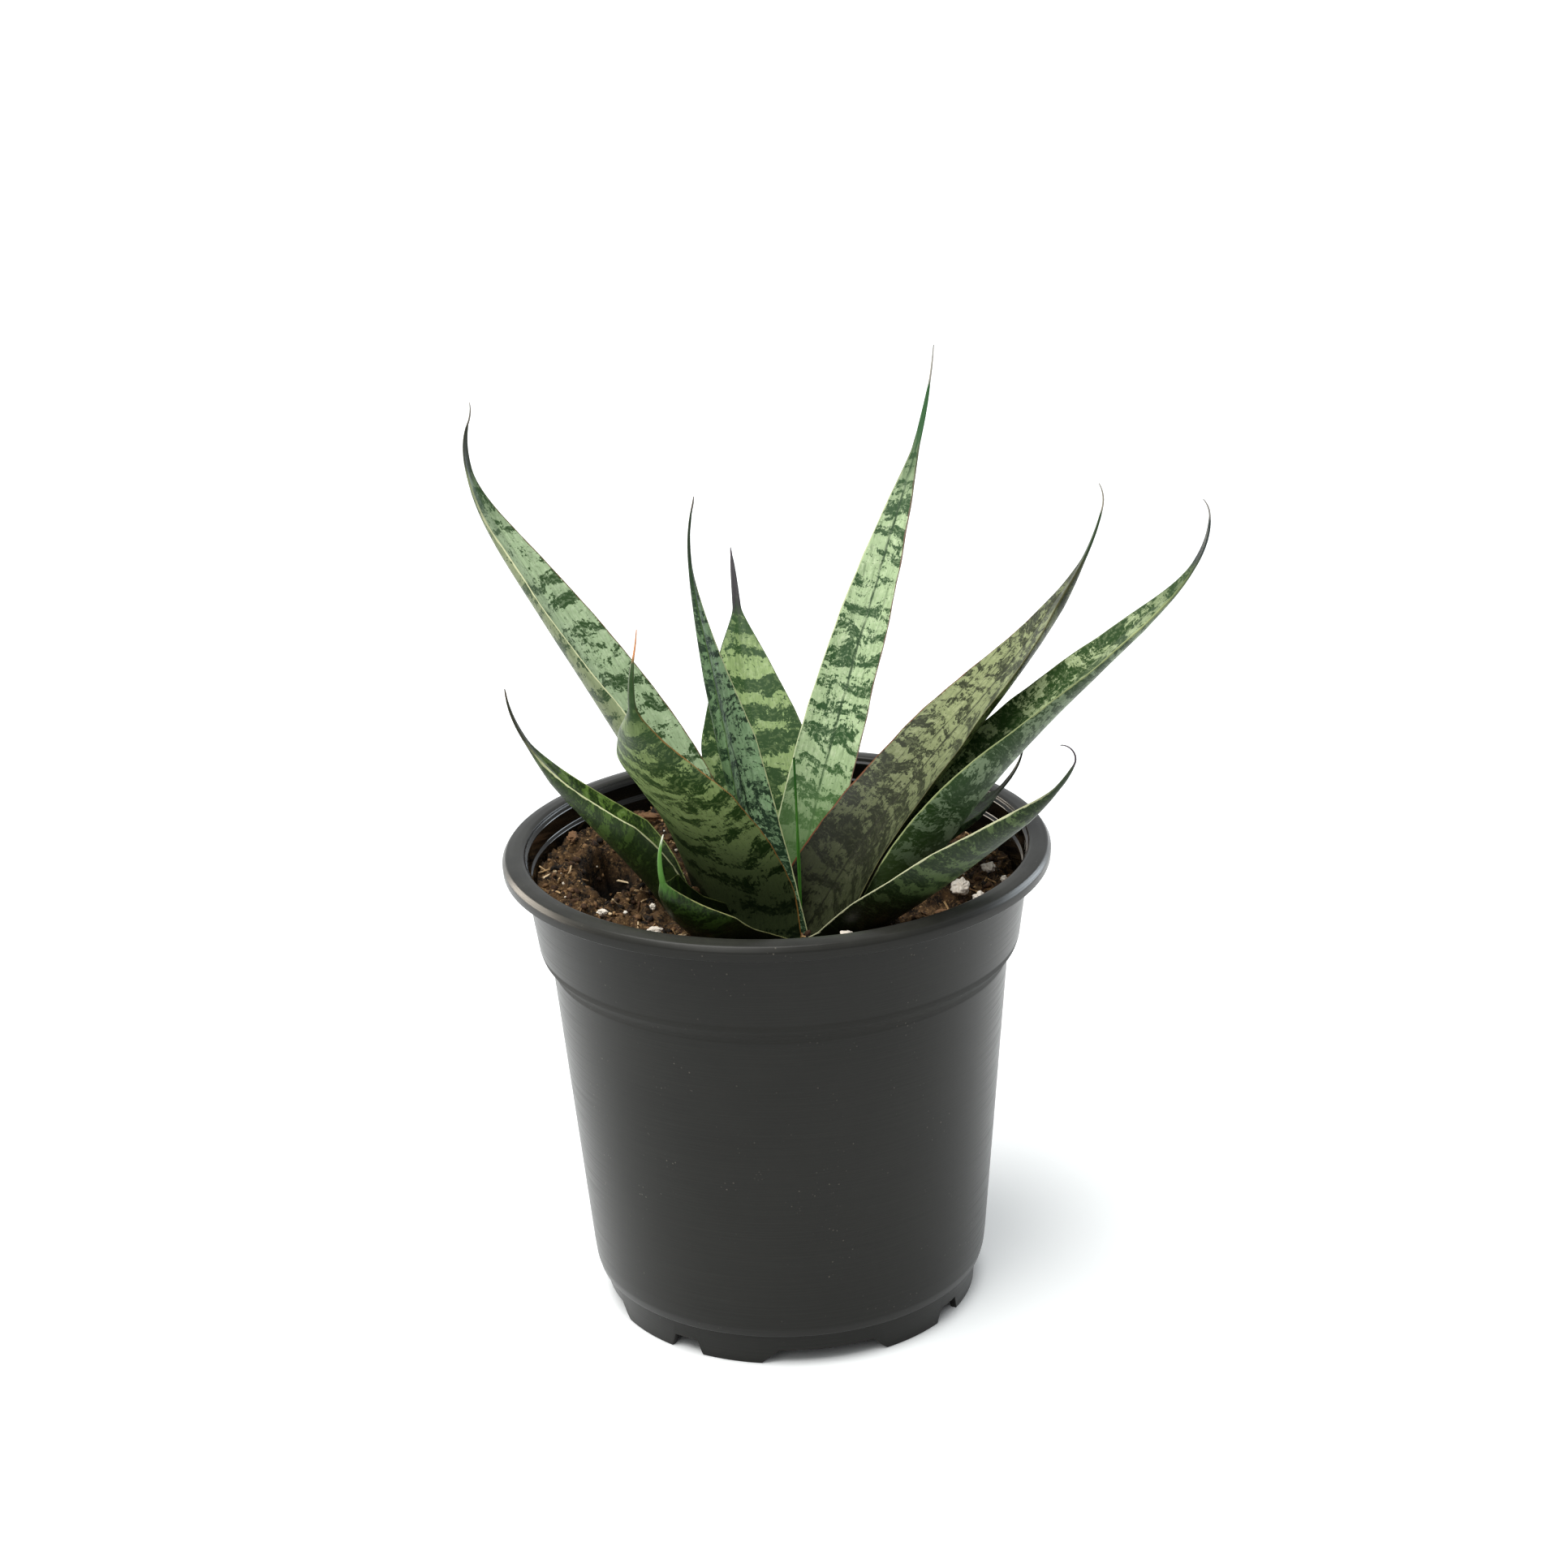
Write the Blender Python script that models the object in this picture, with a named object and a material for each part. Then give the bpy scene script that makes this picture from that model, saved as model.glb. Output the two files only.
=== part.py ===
"""Potted snake plant: a round moulded nursery pot, its potting mix, twelve banded leaves and loose grains.

Metres, +Z up. Sizes below are in millimetres and degrees about the pot's own axis. Every sub-part is
parented to one empty, which puts the origin on the ground under the middle of the plant's whole outline.
"""

import math
from collections import namedtuple

import bmesh
import bpy
from mathutils import Vector, noise

MM = 0.001

# Pot
POT_HEIGHT = 93.3
RIM_RADIUS = 52.5
MOUTH_RADIUS = 48.2
SKIRT_DEPTH = 3.1
BAND_FOOT_HEIGHT = 74.8
BAND_FOOT_RADIUS = 46.4
BODY_TOP_HEIGHT = 70.8
BODY_TOP_RADIUS = 44.1
BODY_FOOT_HEIGHT = 11.3
BODY_FOOT_RADIUS = 39.1
HEEL_HEIGHT = 6.8
HEEL_RADIUS = 38.3
FOOT_RADIUS = 36.6
WALL = 1.25
FLOOR_UNDERSIDE = 6.0
CENTRE_HOLE_RADIUS = 5.0
DRAIN_HOLE_RADIUS = 3.5
DRAIN_CIRCLE_RADIUS = 27.0
POT_SEGMENTS = 48
NOTCH_HEIGHT = 3.0
NOTCH_REACH = 6.0
QUARTERS = 4

# The foot ring's notches, one of each kind in every quarter: the first one's angle, and half of the angle
# that it takes at the ground and at its top.
Notch = namedtuple("Notch", "first_angle half_angle_low half_angle_high")
WIDE_NOTCH = Notch(-80.0, 21.5, 14.5)
NARROW_NOTCH = Notch(-124.3, 6.3, 4.0)

# Potting mix
CLEARANCE = 0.35
SOCKET_TOP = 20.0
SOIL_LEVEL = 86.4
SOIL_SLOPE = 0.036
SOIL_ROUGHNESS = 1.1
SOIL_SEGMENTS = 48
SOIL_RINGS = (0.88, 0.76, 0.64, 0.52, 0.4, 0.28, 0.14)
HOLLOW_CENTRE = (-33.0, 6.0)
HOLLOW_SPREAD = (5.5, 8.0)
HOLLOW_DEPTH = 7.5

# Leaves
LEAF_LEVEL = 83.0
PLANTED_DEPTH = 6.0
LEAF_HALF_THICKNESS = 1.1
MARGIN_HALF_THICKNESS = 0.25
SPIKE_HALF_WIDTH = 0.75
AWN_HALF_WIDTH = 0.3
POINTS_ACROSS = 6
HOOK_START = 0.75

# base: where the midrib meets LEAF_LEVEL; heading: 0 is +X, 90 is +Y, and turn is added along the leaf;
# lean: from upright at foot, middle and tip, and hook is added over the last quarter; curl: half the arc that
# the channel's section makes, at foot and tip; roll: about the midrib, at foot and tip; awn: the dry thread.
Leaf = namedtuple(
    "Leaf",
    "name base heading turn lean hook length half_width widest foot_ratio taper curl roll spike awn awn_turn",
)
LEAVES = (
    Leaf("leaf_tall_left", (-12.1, -2.6), 148.5, -2, (26.5, 37.5, 35.5), -62, 104.5, 12, 0.23, 0.68, 1.53,
         (97, 44), (20, -8), 9, 4, 35),
    Leaf("leaf_front_left", (-7.3, -13.5), 220, 35, (4, 42.5, -3), -41, 70, 13, 0.6, 1, 1.4,
         (16, 31), (12.5, -23), 9, 5, 25),
    Leaf("leaf_low_left", (-18.8, -14.5), 159, -4.5, (30.5, 47, 23), -15, 54, 11, 0.41, 0.52, 1,
         (97, 21), (29, 13), 9, 1.5, 0),
    Leaf("leaf_short_front", (-10.4, -25.2), 230, 4, (60, 38, -16), -14, 33, 11.4, 0.5, 0.96, 1.4,
         (66, 80), (-11, -28), 8, 1, 0),
    Leaf("leaf_thin_back_left", (-1.7, -6.6), 137, 24, (16.5, 13.5, 1), -16, 78, 6.2, 0.46, 1, 1,
         (77, 72), (-14, 17), 10, 2, 10),
    Leaf("leaf_broad_back", (-2.5, 8.8), 100.5, -6, (17.5, 34, 35.5), 20, 66, 11.5, 0.45, 0.74, 1.22,
         (50, 36), (0, 0), 12, 1.5, 0),
    Leaf("leaf_tall_centre", (4.6, 3.2), 55.5, 5.5, (22.5, 36, 34.5), -12.5, 103.5, 7.1, 0.11, 0.76, 2.5,
         (45, 46), (11.5, 8.5), 12, 7, -10),
    Leaf("leaf_back_right", (9.6, -5.6), 14, 3, (33, 44.5, 21.5), -7, 91, 10.8, 0.47, 0.95, 1.52,
         (49, 24), (22, -21), 9, 5, -45),
    Leaf("leaf_long_right", (24.2, -9.9), 10, -1, (27.5, 46.5, 48), -50, 94, 13.2, 0.29, 0.8, 1.12,
         (97, 12), (-21, 11), 9, 3.5, -40),
    Leaf("leaf_low_right", (13.1, -25.1), -42, 18.5, (56, 49, 50), -26, 62, 11.8, 0.25, 0.7, 1,
         (42, 38), (-6, -18.5), 5, 6.5, -125),
    Leaf("leaf_centre_spear", (4.6, -9.3), 95, 2, (5, 6, 6), -3, 29, 1.1, 0.38, 0.75, 1.15,
         (75, 43), (2, 2), 5, 0, 0),
    Leaf("leaf_low_back_right", (20.4, 3.4), 17, 3, (52, 62, 27), -14, 37.5, 6.7, 0.44, 0.71, 1.65,
         (70, 33), (0, 6), 9, 1, 0),
)

# Loose grains: where each lies, its half sizes along its own axes, and its turn about the vertical.
Grain = namedtuple("Grain", "name place half_sizes turn")
PERLITE = (
    Grain("perlite_1", (34.3, -12.3), (2.6, 2.2, 1.9), 65),
    Grain("perlite_2", (37.6, -16.2), (1.4, 1.2, 1.2), 70),
    Grain("perlite_3", (40.6, -0.5), (1.7, 1.3, 1.1), 10),
    Grain("perlite_4", (12.2, -34.8), (2.1, 1.2, 1.0), 0),
    Grain("perlite_5", (43.0, -6.5), (0.8, 0.7, 0.7), 40),
    Grain("perlite_6", (-22.8, -31.3), (2.0, 1.0, 0.7), 175),
    Grain("perlite_7", (-32.8, -22.0), (1.3, 0.7, 0.6), 160),
    Grain("perlite_8", (-23.5, -17.7), (0.9, 0.7, 0.6), 120),
)
BARK = (
    Grain("bark_1", (19.4, -33.0), (2.5, 1.2, 0.8), 20),
    Grain("bark_2", (30.2, -23.3), (2.6, 1.2, 0.7), 130),
    Grain("bark_3", (-40.1, 17.7), (2.6, 1.3, 0.7), 75),
    Grain("bark_4", (-25.0, 28.0), (3.0, 1.3, 0.9), 170),
    Grain("bark_5", (6.0, 38.0), (3.0, 1.5, 0.8), 40),
)

POT_COLOUR = (0.045, 0.045, 0.043)
SOIL_COLOUR = (0.075, 0.043, 0.026)
LEAF_COLOUR = (0.17, 0.28, 0.12)
PERLITE_COLOUR = (0.78, 0.72, 0.62)
BARK_COLOUR = (0.16, 0.082, 0.045)


def clear_scene():
    for old in list(bpy.data.objects):
        bpy.data.objects.remove(old, do_unlink=True)


def make_material(name, colour, roughness):
    material = bpy.data.materials.new(name)
    material.use_nodes = True
    shader = material.node_tree.nodes["Principled BSDF"]
    shader.inputs["Base Color"].default_value = (*colour, 1)
    shader.inputs["Roughness"].default_value = roughness
    shader.inputs["Metallic"].default_value = 0
    return material


def object_from(name, bm, material, parent):
    """Makes the object of a bmesh drawn in millimetres."""
    bmesh.ops.recalc_face_normals(bm, faces=bm.faces)
    bmesh.ops.scale(bm, vec=(MM, MM, MM), verts=bm.verts)
    mesh = bpy.data.meshes.new(name)
    bm.to_mesh(mesh)
    bm.free()
    mesh.shade_smooth()
    mesh.set_sharp_from_angle(angle=math.radians(35))
    obj = bpy.data.objects.new(name, mesh)
    bpy.context.scene.collection.objects.link(obj)
    obj.parent = parent
    if material:
        mesh.materials.append(material)
    return obj


def cut_with(obj, cutter):
    cutter.hide_render = True
    cutter.display_type = "WIRE"
    cut = obj.modifiers.new(cutter.name, "BOOLEAN")
    cut.operation = "DIFFERENCE"
    cut.solver = "EXACT"
    cut.object = cutter


def outer_wall():
    """The pot's outside (radius, height), from the mouth's edge over the rim and down to the foot."""
    top = POT_HEIGHT
    return [
        (MOUTH_RADIUS, top - 0.3),
        (MOUTH_RADIUS + 0.7, top),
        (RIM_RADIUS - 1.5, top),
        (RIM_RADIUS - 0.4, top - 0.4),
        (RIM_RADIUS, top - 1.3),
        (RIM_RADIUS - 0.1, top - SKIRT_DEPTH),
        (RIM_RADIUS - 1.1, top - SKIRT_DEPTH),
        (RIM_RADIUS - 1.4, top - WALL - 0.3),
        (MOUTH_RADIUS + 1.2, top - WALL),
        (MOUTH_RADIUS + 0.3, top - SKIRT_DEPTH),
        (BAND_FOOT_RADIUS, BAND_FOOT_HEIGHT),
        (BAND_FOOT_RADIUS - 0.4, BAND_FOOT_HEIGHT - 1.2),
        (BODY_TOP_RADIUS + 0.5, BODY_TOP_HEIGHT + 1.2),
        (BODY_TOP_RADIUS, BODY_TOP_HEIGHT),
        (BODY_FOOT_RADIUS, BODY_FOOT_HEIGHT),
        (BODY_FOOT_RADIUS - 0.3, HEEL_HEIGHT + 1.8),
        (HEEL_RADIUS, HEEL_HEIGHT),
        (FOOT_RADIUS + 0.4, HEEL_HEIGHT - 0.4),
        (FOOT_RADIUS, 0),
    ]


def inner_wall():
    """The pot's inside (radius, height), from the floor up to just under the mouth, with its small ledge."""
    floor = FLOOR_UNDERSIDE + WALL
    return [
        (BODY_FOOT_RADIUS - WALL - 1.5, floor),
        (BODY_FOOT_RADIUS - WALL - 0.4, floor + 1.2),
        (BODY_FOOT_RADIUS - WALL + 0.1, BODY_FOOT_HEIGHT + 1),
        (BODY_TOP_RADIUS - WALL, BODY_TOP_HEIGHT),
        (BODY_TOP_RADIUS - WALL + 0.5, BODY_TOP_HEIGHT + 1.4),
        (BAND_FOOT_RADIUS - WALL - 0.4, BAND_FOOT_HEIGHT - 0.8),
        (BAND_FOOT_RADIUS - WALL, BAND_FOOT_HEIGHT + 0.4),
        (MOUTH_RADIUS - 1.5, POT_HEIGHT - 4.9),
        (MOUTH_RADIUS - 0.9, POT_HEIGHT - 4.4),
        (MOUTH_RADIUS - 0.6, POT_HEIGHT - 1.4),
    ]


def turned(bm, profile, segments):
    """Spins a closed (radius, height) profile round the Z axis."""
    verts = [bm.verts.new((r, 0, z)) for r, z in profile]
    edges = [bm.edges.new((a, b)) for a, b in zip(verts, verts[1:] + verts[:1])]
    bmesh.ops.spin(
        bm,
        geom=verts + edges,
        cent=(0, 0, 0),
        axis=(0, 0, 1),
        angle=math.tau,
        steps=segments,
        use_merge=True,
    )


def build_notch_cutter(notch, angle, parent):
    """A wedge that is wide at the ground and narrower at its top, through the foot ring."""
    bm = bmesh.new()
    rings = []
    near, far = FOOT_RADIUS - NOTCH_REACH, FOOT_RADIUS + NOTCH_REACH
    for height, half_angle in ((-1, notch.half_angle_low), (NOTCH_HEIGHT, notch.half_angle_high)):
        corners = []
        for radius, side in ((near, -1), (far, -1), (far, 1), (near, 1)):
            around = math.radians(angle + side * half_angle)
            corners.append(bm.verts.new((radius * math.cos(around), radius * math.sin(around), height)))
        rings.append(corners)
    low, high = rings
    bm.faces.new(low[::-1])
    bm.faces.new(high)
    for i in range(4):
        j = (i + 1) % 4
        bm.faces.new((low[i], low[j], high[j], high[i]))
    return object_from(f"notch_cutter_{round(angle)}", bm, None, parent)


def build_drain_cutter(angle, parent):
    bm = bmesh.new()
    bmesh.ops.create_cone(
        bm,
        cap_ends=True,
        segments=16,
        radius1=DRAIN_HOLE_RADIUS,
        radius2=DRAIN_HOLE_RADIUS,
        depth=4 * WALL,
    )
    around = math.radians(angle)
    place = (
        DRAIN_CIRCLE_RADIUS * math.cos(around),
        DRAIN_CIRCLE_RADIUS * math.sin(around),
        FLOOR_UNDERSIDE + WALL / 2,
    )
    bmesh.ops.translate(bm, vec=place, verts=bm.verts)
    return object_from(f"drain_cutter_{round(angle)}", bm, None, parent)


def build_pot(material, parent):
    inner = inner_wall()
    underside = [
        (FOOT_RADIUS - WALL, 0),
        (FOOT_RADIUS - WALL, FLOOR_UNDERSIDE - 0.4),
        (FOOT_RADIUS - WALL - 0.6, FLOOR_UNDERSIDE),
        (CENTRE_HOLE_RADIUS, FLOOR_UNDERSIDE),
        (CENTRE_HOLE_RADIUS, FLOOR_UNDERSIDE + WALL),
    ]
    bm = bmesh.new()
    turned(bm, outer_wall() + underside + inner, POT_SEGMENTS)
    pot = object_from("nursery_pot", bm, material, parent)
    for k in range(QUARTERS):
        turn = k * 360 / QUARTERS
        for notch in (WIDE_NOTCH, NARROW_NOTCH):
            cut_with(pot, build_notch_cutter(notch, notch.first_angle + turn, parent))
        cut_with(pot, build_drain_cutter(WIDE_NOTCH.first_angle + turn, parent))
    return pot


def soil_height(x, y):
    """The height of the rough top of the potting mix, with the hollow at the left."""
    rough = noise.noise(Vector((x / 11, y / 11, 0.3))) + 0.5 * noise.noise(Vector((x / 5, y / 5, 4.1)))
    dx = (x - HOLLOW_CENTRE[0]) / HOLLOW_SPREAD[0]
    dy = (y - HOLLOW_CENTRE[1]) / HOLLOW_SPREAD[1]
    hollow = HOLLOW_DEPTH * math.exp(-(dx * dx + dy * dy) / 1.2)
    return SOIL_LEVEL - SOIL_SLOPE * x + SOIL_ROUGHNESS * rough - hollow


def wall_radius_at(height):
    """The radius of the pot's inside at a height."""
    profile = inner_wall()
    for (r0, z0), (r1, z1) in zip(profile, profile[1:]):
        if z0 <= height <= z1:
            return r0 + (r1 - r0) * (height - z0) / (z1 - z0)
    return profile[0][0]


def build_soil(material, parent):
    """The potting mix: it fills the pot, and its top is rough."""
    bm = bmesh.new()
    around = [math.tau * k / SOIL_SEGMENTS for k in range(SOIL_SEGMENTS)]

    def ring(radius, height):
        return [bm.verts.new((radius * math.cos(a), radius * math.sin(a), height(a, radius))) for a in around]

    side = [(r - CLEARANCE, z) for r, z in inner_wall()[:7]]
    side[0] = (side[0][0], side[0][1] + CLEARANCE)
    rings = [ring(r, lambda a, radius, z=z: z) for r, z in side]
    edge = wall_radius_at(SOIL_LEVEL) - 1.0
    for share in (1.0, *SOIL_RINGS):
        rings.append(
            ring(edge * share, lambda a, radius: soil_height(radius * math.cos(a), radius * math.sin(a)))
        )
    for low, high in zip(rings, rings[1:]):
        for k in range(SOIL_SEGMENTS):
            j = (k + 1) % SOIL_SEGMENTS
            bm.faces.new((low[k], low[j], high[j], high[k]))
    bm.faces.new(rings[0][::-1])
    top = bm.verts.new((0, 0, soil_height(0, 0)))
    for k in range(SOIL_SEGMENTS):
        bm.faces.new((rings[-1][k], rings[-1][(k + 1) % SOIL_SEGMENTS], top))
    return object_from("potting_mix", bm, material, parent)


def between(ends, share):
    return ends[0] + (ends[1] - ends[0]) * share


def lean_along(leaf, s):
    """The lean from upright at share s of the leaf's length: a parabola through three leans, and the hook."""
    foot, middle, tip = leaf.lean
    curve = foot * (1 - s) * (1 - 2 * s) + middle * 4 * s * (1 - s) + tip * s * (2 * s - 1)
    hook = max(0, (s - HOOK_START) / (1 - HOOK_START))
    return curve + leaf.hook * hook * hook


def half_width_along(leaf, s):
    """Half of the blade's width, measured round its channel: a blade, a narrow spike and a thread."""
    neck = 1 - leaf.spike / leaf.length
    t = min(s / neck, 1)
    if t < leaf.widest:
        blade = leaf.foot_ratio + (1 - leaf.foot_ratio) * math.sin(math.pi / 2 * t / leaf.widest)
    else:
        blade = 1 - ((t - leaf.widest) / (1 - leaf.widest)) ** leaf.taper
    spike = SPIKE_HALF_WIDTH * math.sqrt(max(0, min(1, (1 - s) / (1 - neck))))
    return max(math.hypot(leaf.half_width * blade, spike), AWN_HALF_WIDTH)


def stations_of(leaf, low, high):
    """Lengths along the midrib at which the leaf has a section."""
    neck = leaf.length - leaf.spike
    steps = [low, 0, *(neck * k / 12 for k in range(1, 13))]
    steps += [neck + leaf.spike * k / 3 for k in (1, 2, 3)]
    steps += [leaf.length + leaf.awn * k / 3 for k in (1, 2, 3) if leaf.awn]
    return [step for step in steps if step <= high]


def leaf_frames(leaf, stations):
    """The midrib's points and the tangent, side and inner-face directions at each station."""
    frames = []
    step = 0.5
    point = Vector((*leaf.base, LEAF_LEVEL))
    length = 0
    for station in stations:
        while abs(station - length) > 1e-6:
            move = max(-step, min(step, station - length))
            point = point + leaf_tangent(leaf, length + move / 2) * move
            length += move
        s = max(0, min(1, station / leaf.length))
        heading = math.radians(leaf.heading + leaf.turn * s)
        tangent = leaf_tangent(leaf, station)
        side = Vector((-math.sin(heading), math.cos(heading), 0))
        inward = tangent.cross(side)
        roll = math.radians(between(leaf.roll, s))
        turned_side = side * math.cos(roll) + inward * math.sin(roll)
        turned_inward = inward * math.cos(roll) - side * math.sin(roll)
        frames.append((s, point.copy(), turned_side, turned_inward))
    return frames


def leaf_tangent(leaf, length):
    s = max(0, min(1, length / leaf.length))
    heading = math.radians(leaf.heading + leaf.turn * s)
    lean = lean_along(leaf, s)
    if length > leaf.length:
        lean += leaf.awn_turn * (length - leaf.length) / leaf.awn
    lean = math.radians(lean)
    return Vector((math.sin(lean) * math.cos(heading), math.sin(lean) * math.sin(heading), math.cos(lean)))


def leaf_ring(leaf, frame, extra):
    """One closed section: the inner face from margin to margin, then the outer face back."""
    s, point, side, inward = frame
    width = half_width_along(leaf, s) + extra
    curl = math.radians(between(leaf.curl, s))
    ring = []
    for face in (1, -1):
        for k in range(POINTS_ACROSS):
            u = face * math.sin(math.pi / 2 * (1 - 2 * k / (POINTS_ACROSS - 1)))
            bend = curl * u
            radius = width / curl
            middle = point + side * radius * math.sin(bend) + inward * radius * (1 - math.cos(bend))
            outward = inward * math.cos(bend) - side * math.sin(bend)
            body = LEAF_HALF_THICKNESS * min(width / 4, 1) * (1 - u * u)
            ring.append(middle + outward * face * (MARGIN_HALF_THICKNESS + body + extra))
    return ring


def leaf_bmesh(leaf, stations, extra):
    bm = bmesh.new()
    rings = []
    for frame in leaf_frames(leaf, stations):
        rings.append([bm.verts.new(point) for point in leaf_ring(leaf, frame, extra)])
    count = 2 * POINTS_ACROSS
    for low, high in zip(rings, rings[1:]):
        for k in range(count):
            j = (k + 1) % count
            bm.faces.new((low[k], low[j], high[j], high[k]))
    bm.faces.new(rings[0][::-1])
    bm.faces.new(rings[-1])
    return bm


def build_leaf(leaf, soil, material, parent):
    """A leaf, and the socket that it stands in."""
    whole = stations_of(leaf, -PLANTED_DEPTH, leaf.length + leaf.awn)
    obj = object_from(leaf.name, leaf_bmesh(leaf, whole, 0), material, parent)
    buried = stations_of(leaf, -PLANTED_DEPTH - CLEARANCE, SOCKET_TOP)
    socket = object_from(leaf.name + "_socket", leaf_bmesh(leaf, buried, CLEARANCE), None, parent)
    cut_with(soil, socket)
    return obj


def build_grain(grain, material, roughness, seed, parent):
    """A loose grain that lies on the potting mix."""
    bm = bmesh.new()
    bmesh.ops.create_icosphere(bm, subdivisions=1, radius=1)
    for vert in bm.verts:
        vert.co *= 1 + roughness * noise.noise(vert.co * 1.7 + Vector((seed, 0, 0)))
    bmesh.ops.scale(bm, vec=grain.half_sizes, verts=bm.verts)
    turn = math.radians(grain.turn)
    x, y = grain.place
    reach = max(grain.half_sizes)
    around = [math.tau * k / 8 for k in range(8)]
    ground = max(soil_height(x + reach * math.cos(a), y + reach * math.sin(a)) for a in around)
    ground = max(ground, soil_height(x, y))
    lowest = min(vert.co.z for vert in bm.verts)
    for vert in bm.verts:
        px, py, pz = vert.co
        vert.co = (
            x + px * math.cos(turn) - py * math.sin(turn),
            y + px * math.sin(turn) + py * math.cos(turn),
            ground + CLEARANCE + pz - lowest,
        )
    return object_from(grain.name, bm, material, parent)


def centre_on_ground(parent):
    """Moves the empty so that the origin is under the middle of the outline, on the ground."""
    bpy.context.view_layer.update()
    graph = bpy.context.evaluated_depsgraph_get()
    corners = []
    for obj in parent.children:
        if not obj.hide_render:
            seen = obj.evaluated_get(graph)
            corners += [seen.matrix_world @ vert.co for vert in seen.data.vertices]
    xs = [corner.x for corner in corners]
    ys = [corner.y for corner in corners]
    zs = [corner.z for corner in corners]
    parent.location = (-(min(xs) + max(xs)) / 2, -(min(ys) + max(ys)) / 2, -min(zs))


def main():
    clear_scene()
    frame = bpy.data.objects.new("plant_frame", None)
    bpy.context.scene.collection.objects.link(frame)
    pot_plastic = make_material("pot_plastic", POT_COLOUR, 0.45)
    soil_mix = make_material("soil_mix", SOIL_COLOUR, 0.95)
    leaf_green = make_material("leaf_green", LEAF_COLOUR, 0.4)
    perlite_white = make_material("perlite_white", PERLITE_COLOUR, 0.9)
    bark_brown = make_material("bark_brown", BARK_COLOUR, 0.9)
    build_pot(pot_plastic, frame)
    soil = build_soil(soil_mix, frame)
    for leaf in LEAVES:
        build_leaf(leaf, soil, leaf_green, frame)
    for k, grain in enumerate(PERLITE):
        build_grain(grain, perlite_white, 0.35, k, frame)
    for k, grain in enumerate(BARK):
        build_grain(grain, bark_brown, 0.25, 20 + k, frame)
    centre_on_ground(frame)


main()
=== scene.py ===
"""A young snake plant in a round nursery pot: the looks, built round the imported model.

Sizes are in millimetres and degrees about the pot's own axis, and MM brings them to metres.
"""

import math
import random
from collections import namedtuple

import bmesh
import bpy
from mathutils import Matrix, Vector, noise


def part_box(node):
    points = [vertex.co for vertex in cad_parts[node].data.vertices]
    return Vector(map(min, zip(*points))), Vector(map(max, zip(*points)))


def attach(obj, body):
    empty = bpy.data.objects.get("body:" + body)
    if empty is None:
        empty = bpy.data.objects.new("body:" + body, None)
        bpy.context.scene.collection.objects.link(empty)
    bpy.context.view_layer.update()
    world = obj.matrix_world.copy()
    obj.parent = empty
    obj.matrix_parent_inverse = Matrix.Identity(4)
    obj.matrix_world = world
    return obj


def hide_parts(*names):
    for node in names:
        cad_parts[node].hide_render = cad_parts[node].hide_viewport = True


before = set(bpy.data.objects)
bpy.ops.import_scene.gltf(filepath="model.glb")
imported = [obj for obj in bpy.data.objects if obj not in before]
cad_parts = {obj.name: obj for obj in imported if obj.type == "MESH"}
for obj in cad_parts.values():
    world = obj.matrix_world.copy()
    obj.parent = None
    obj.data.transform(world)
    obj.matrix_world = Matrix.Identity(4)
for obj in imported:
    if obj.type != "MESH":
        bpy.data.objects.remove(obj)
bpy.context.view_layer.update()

MM = 0.001
POT_LOW, POT_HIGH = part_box("nursery_pot")
AXIS = Vector(((POT_LOW.x + POT_HIGH.x) / 2, (POT_LOW.y + POT_HIGH.y) / 2, 0))

# Pot
POT_HEIGHT = 93.3
RIM_RADIUS = 52.5
MOUTH_RADIUS = 48.2
SKIRT_DEPTH = 3.1
BAND_FOOT_HEIGHT = 74.8
BAND_FOOT_RADIUS = 46.4
BODY_TOP_HEIGHT = 70.8
BODY_TOP_RADIUS = 44.1
BODY_FOOT_HEIGHT = 11.3
BODY_FOOT_RADIUS = 39.1
HEEL_HEIGHT = 6.8
HEEL_RADIUS = 38.3
FOOT_RADIUS = 36.6
WALL = 1.25
CORNER_RADIUS = 0.28
FLOOR_UNDERSIDE = 6.0
CENTRE_HOLE_RADIUS = 5.0
DRAIN_HOLE_RADIUS = 3.5
DRAIN_CIRCLE_RADIUS = 27.0
POT_SEGMENTS = 160
NOTCH_HEIGHT = 3.0
NOTCH_REACH = 6.0
QUARTERS = 4

# How much wider the band's wall grows with each millimetre of height.
BAND_TAPER = 0.13

# Pot finish: the plastic's two blacks, its scratches, worn rim, dust, and painted shade on its inside above
# the mix.
# Scratches are long round the pot and fine up its side.
POT_BLACKS = ("1A1A17", "20201D")
SCRATCH_GREY = "3E3E39"
WORN_GREY = "5A5A55"
DUST_GREY = "8A8478"
INSIDE_PAINTED_SHADE = "030302"
SCRATCHES_ROUND = 45.0
SCRATCHES_UP = 5200.0

# The foot ring's notches, one of each kind in every quarter: the first one's angle, and half of the angle
# that it takes at the ground and at its top.
Notch = namedtuple("Notch", "first_angle half_angle_low half_angle_high")
WIDE_NOTCH = Notch(-80.0, 21.5, 14.5)
NARROW_NOTCH = Notch(-124.3, 6.3, 4.0)

# Potting mix
SOIL_GAP = 0.35
SOIL_LEVEL = 86.4
SOIL_SLOPE = 0.036
SOIL_ROUGHNESS = 1.1
SOIL_CELL = 0.42

# The mix's colours: painted shade in its gaps, its body, its dry fibre, its palest grit, and painted shade
# deep in a hollow.
MIX_GAP_SHADE = "140D07"
MIX_BROWN = "5A432B"
MIX_FIBRE = "92744E"
MIX_GRIT = "D0AE84"
MIX_DEEP_SHADE = "0A0604"

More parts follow.
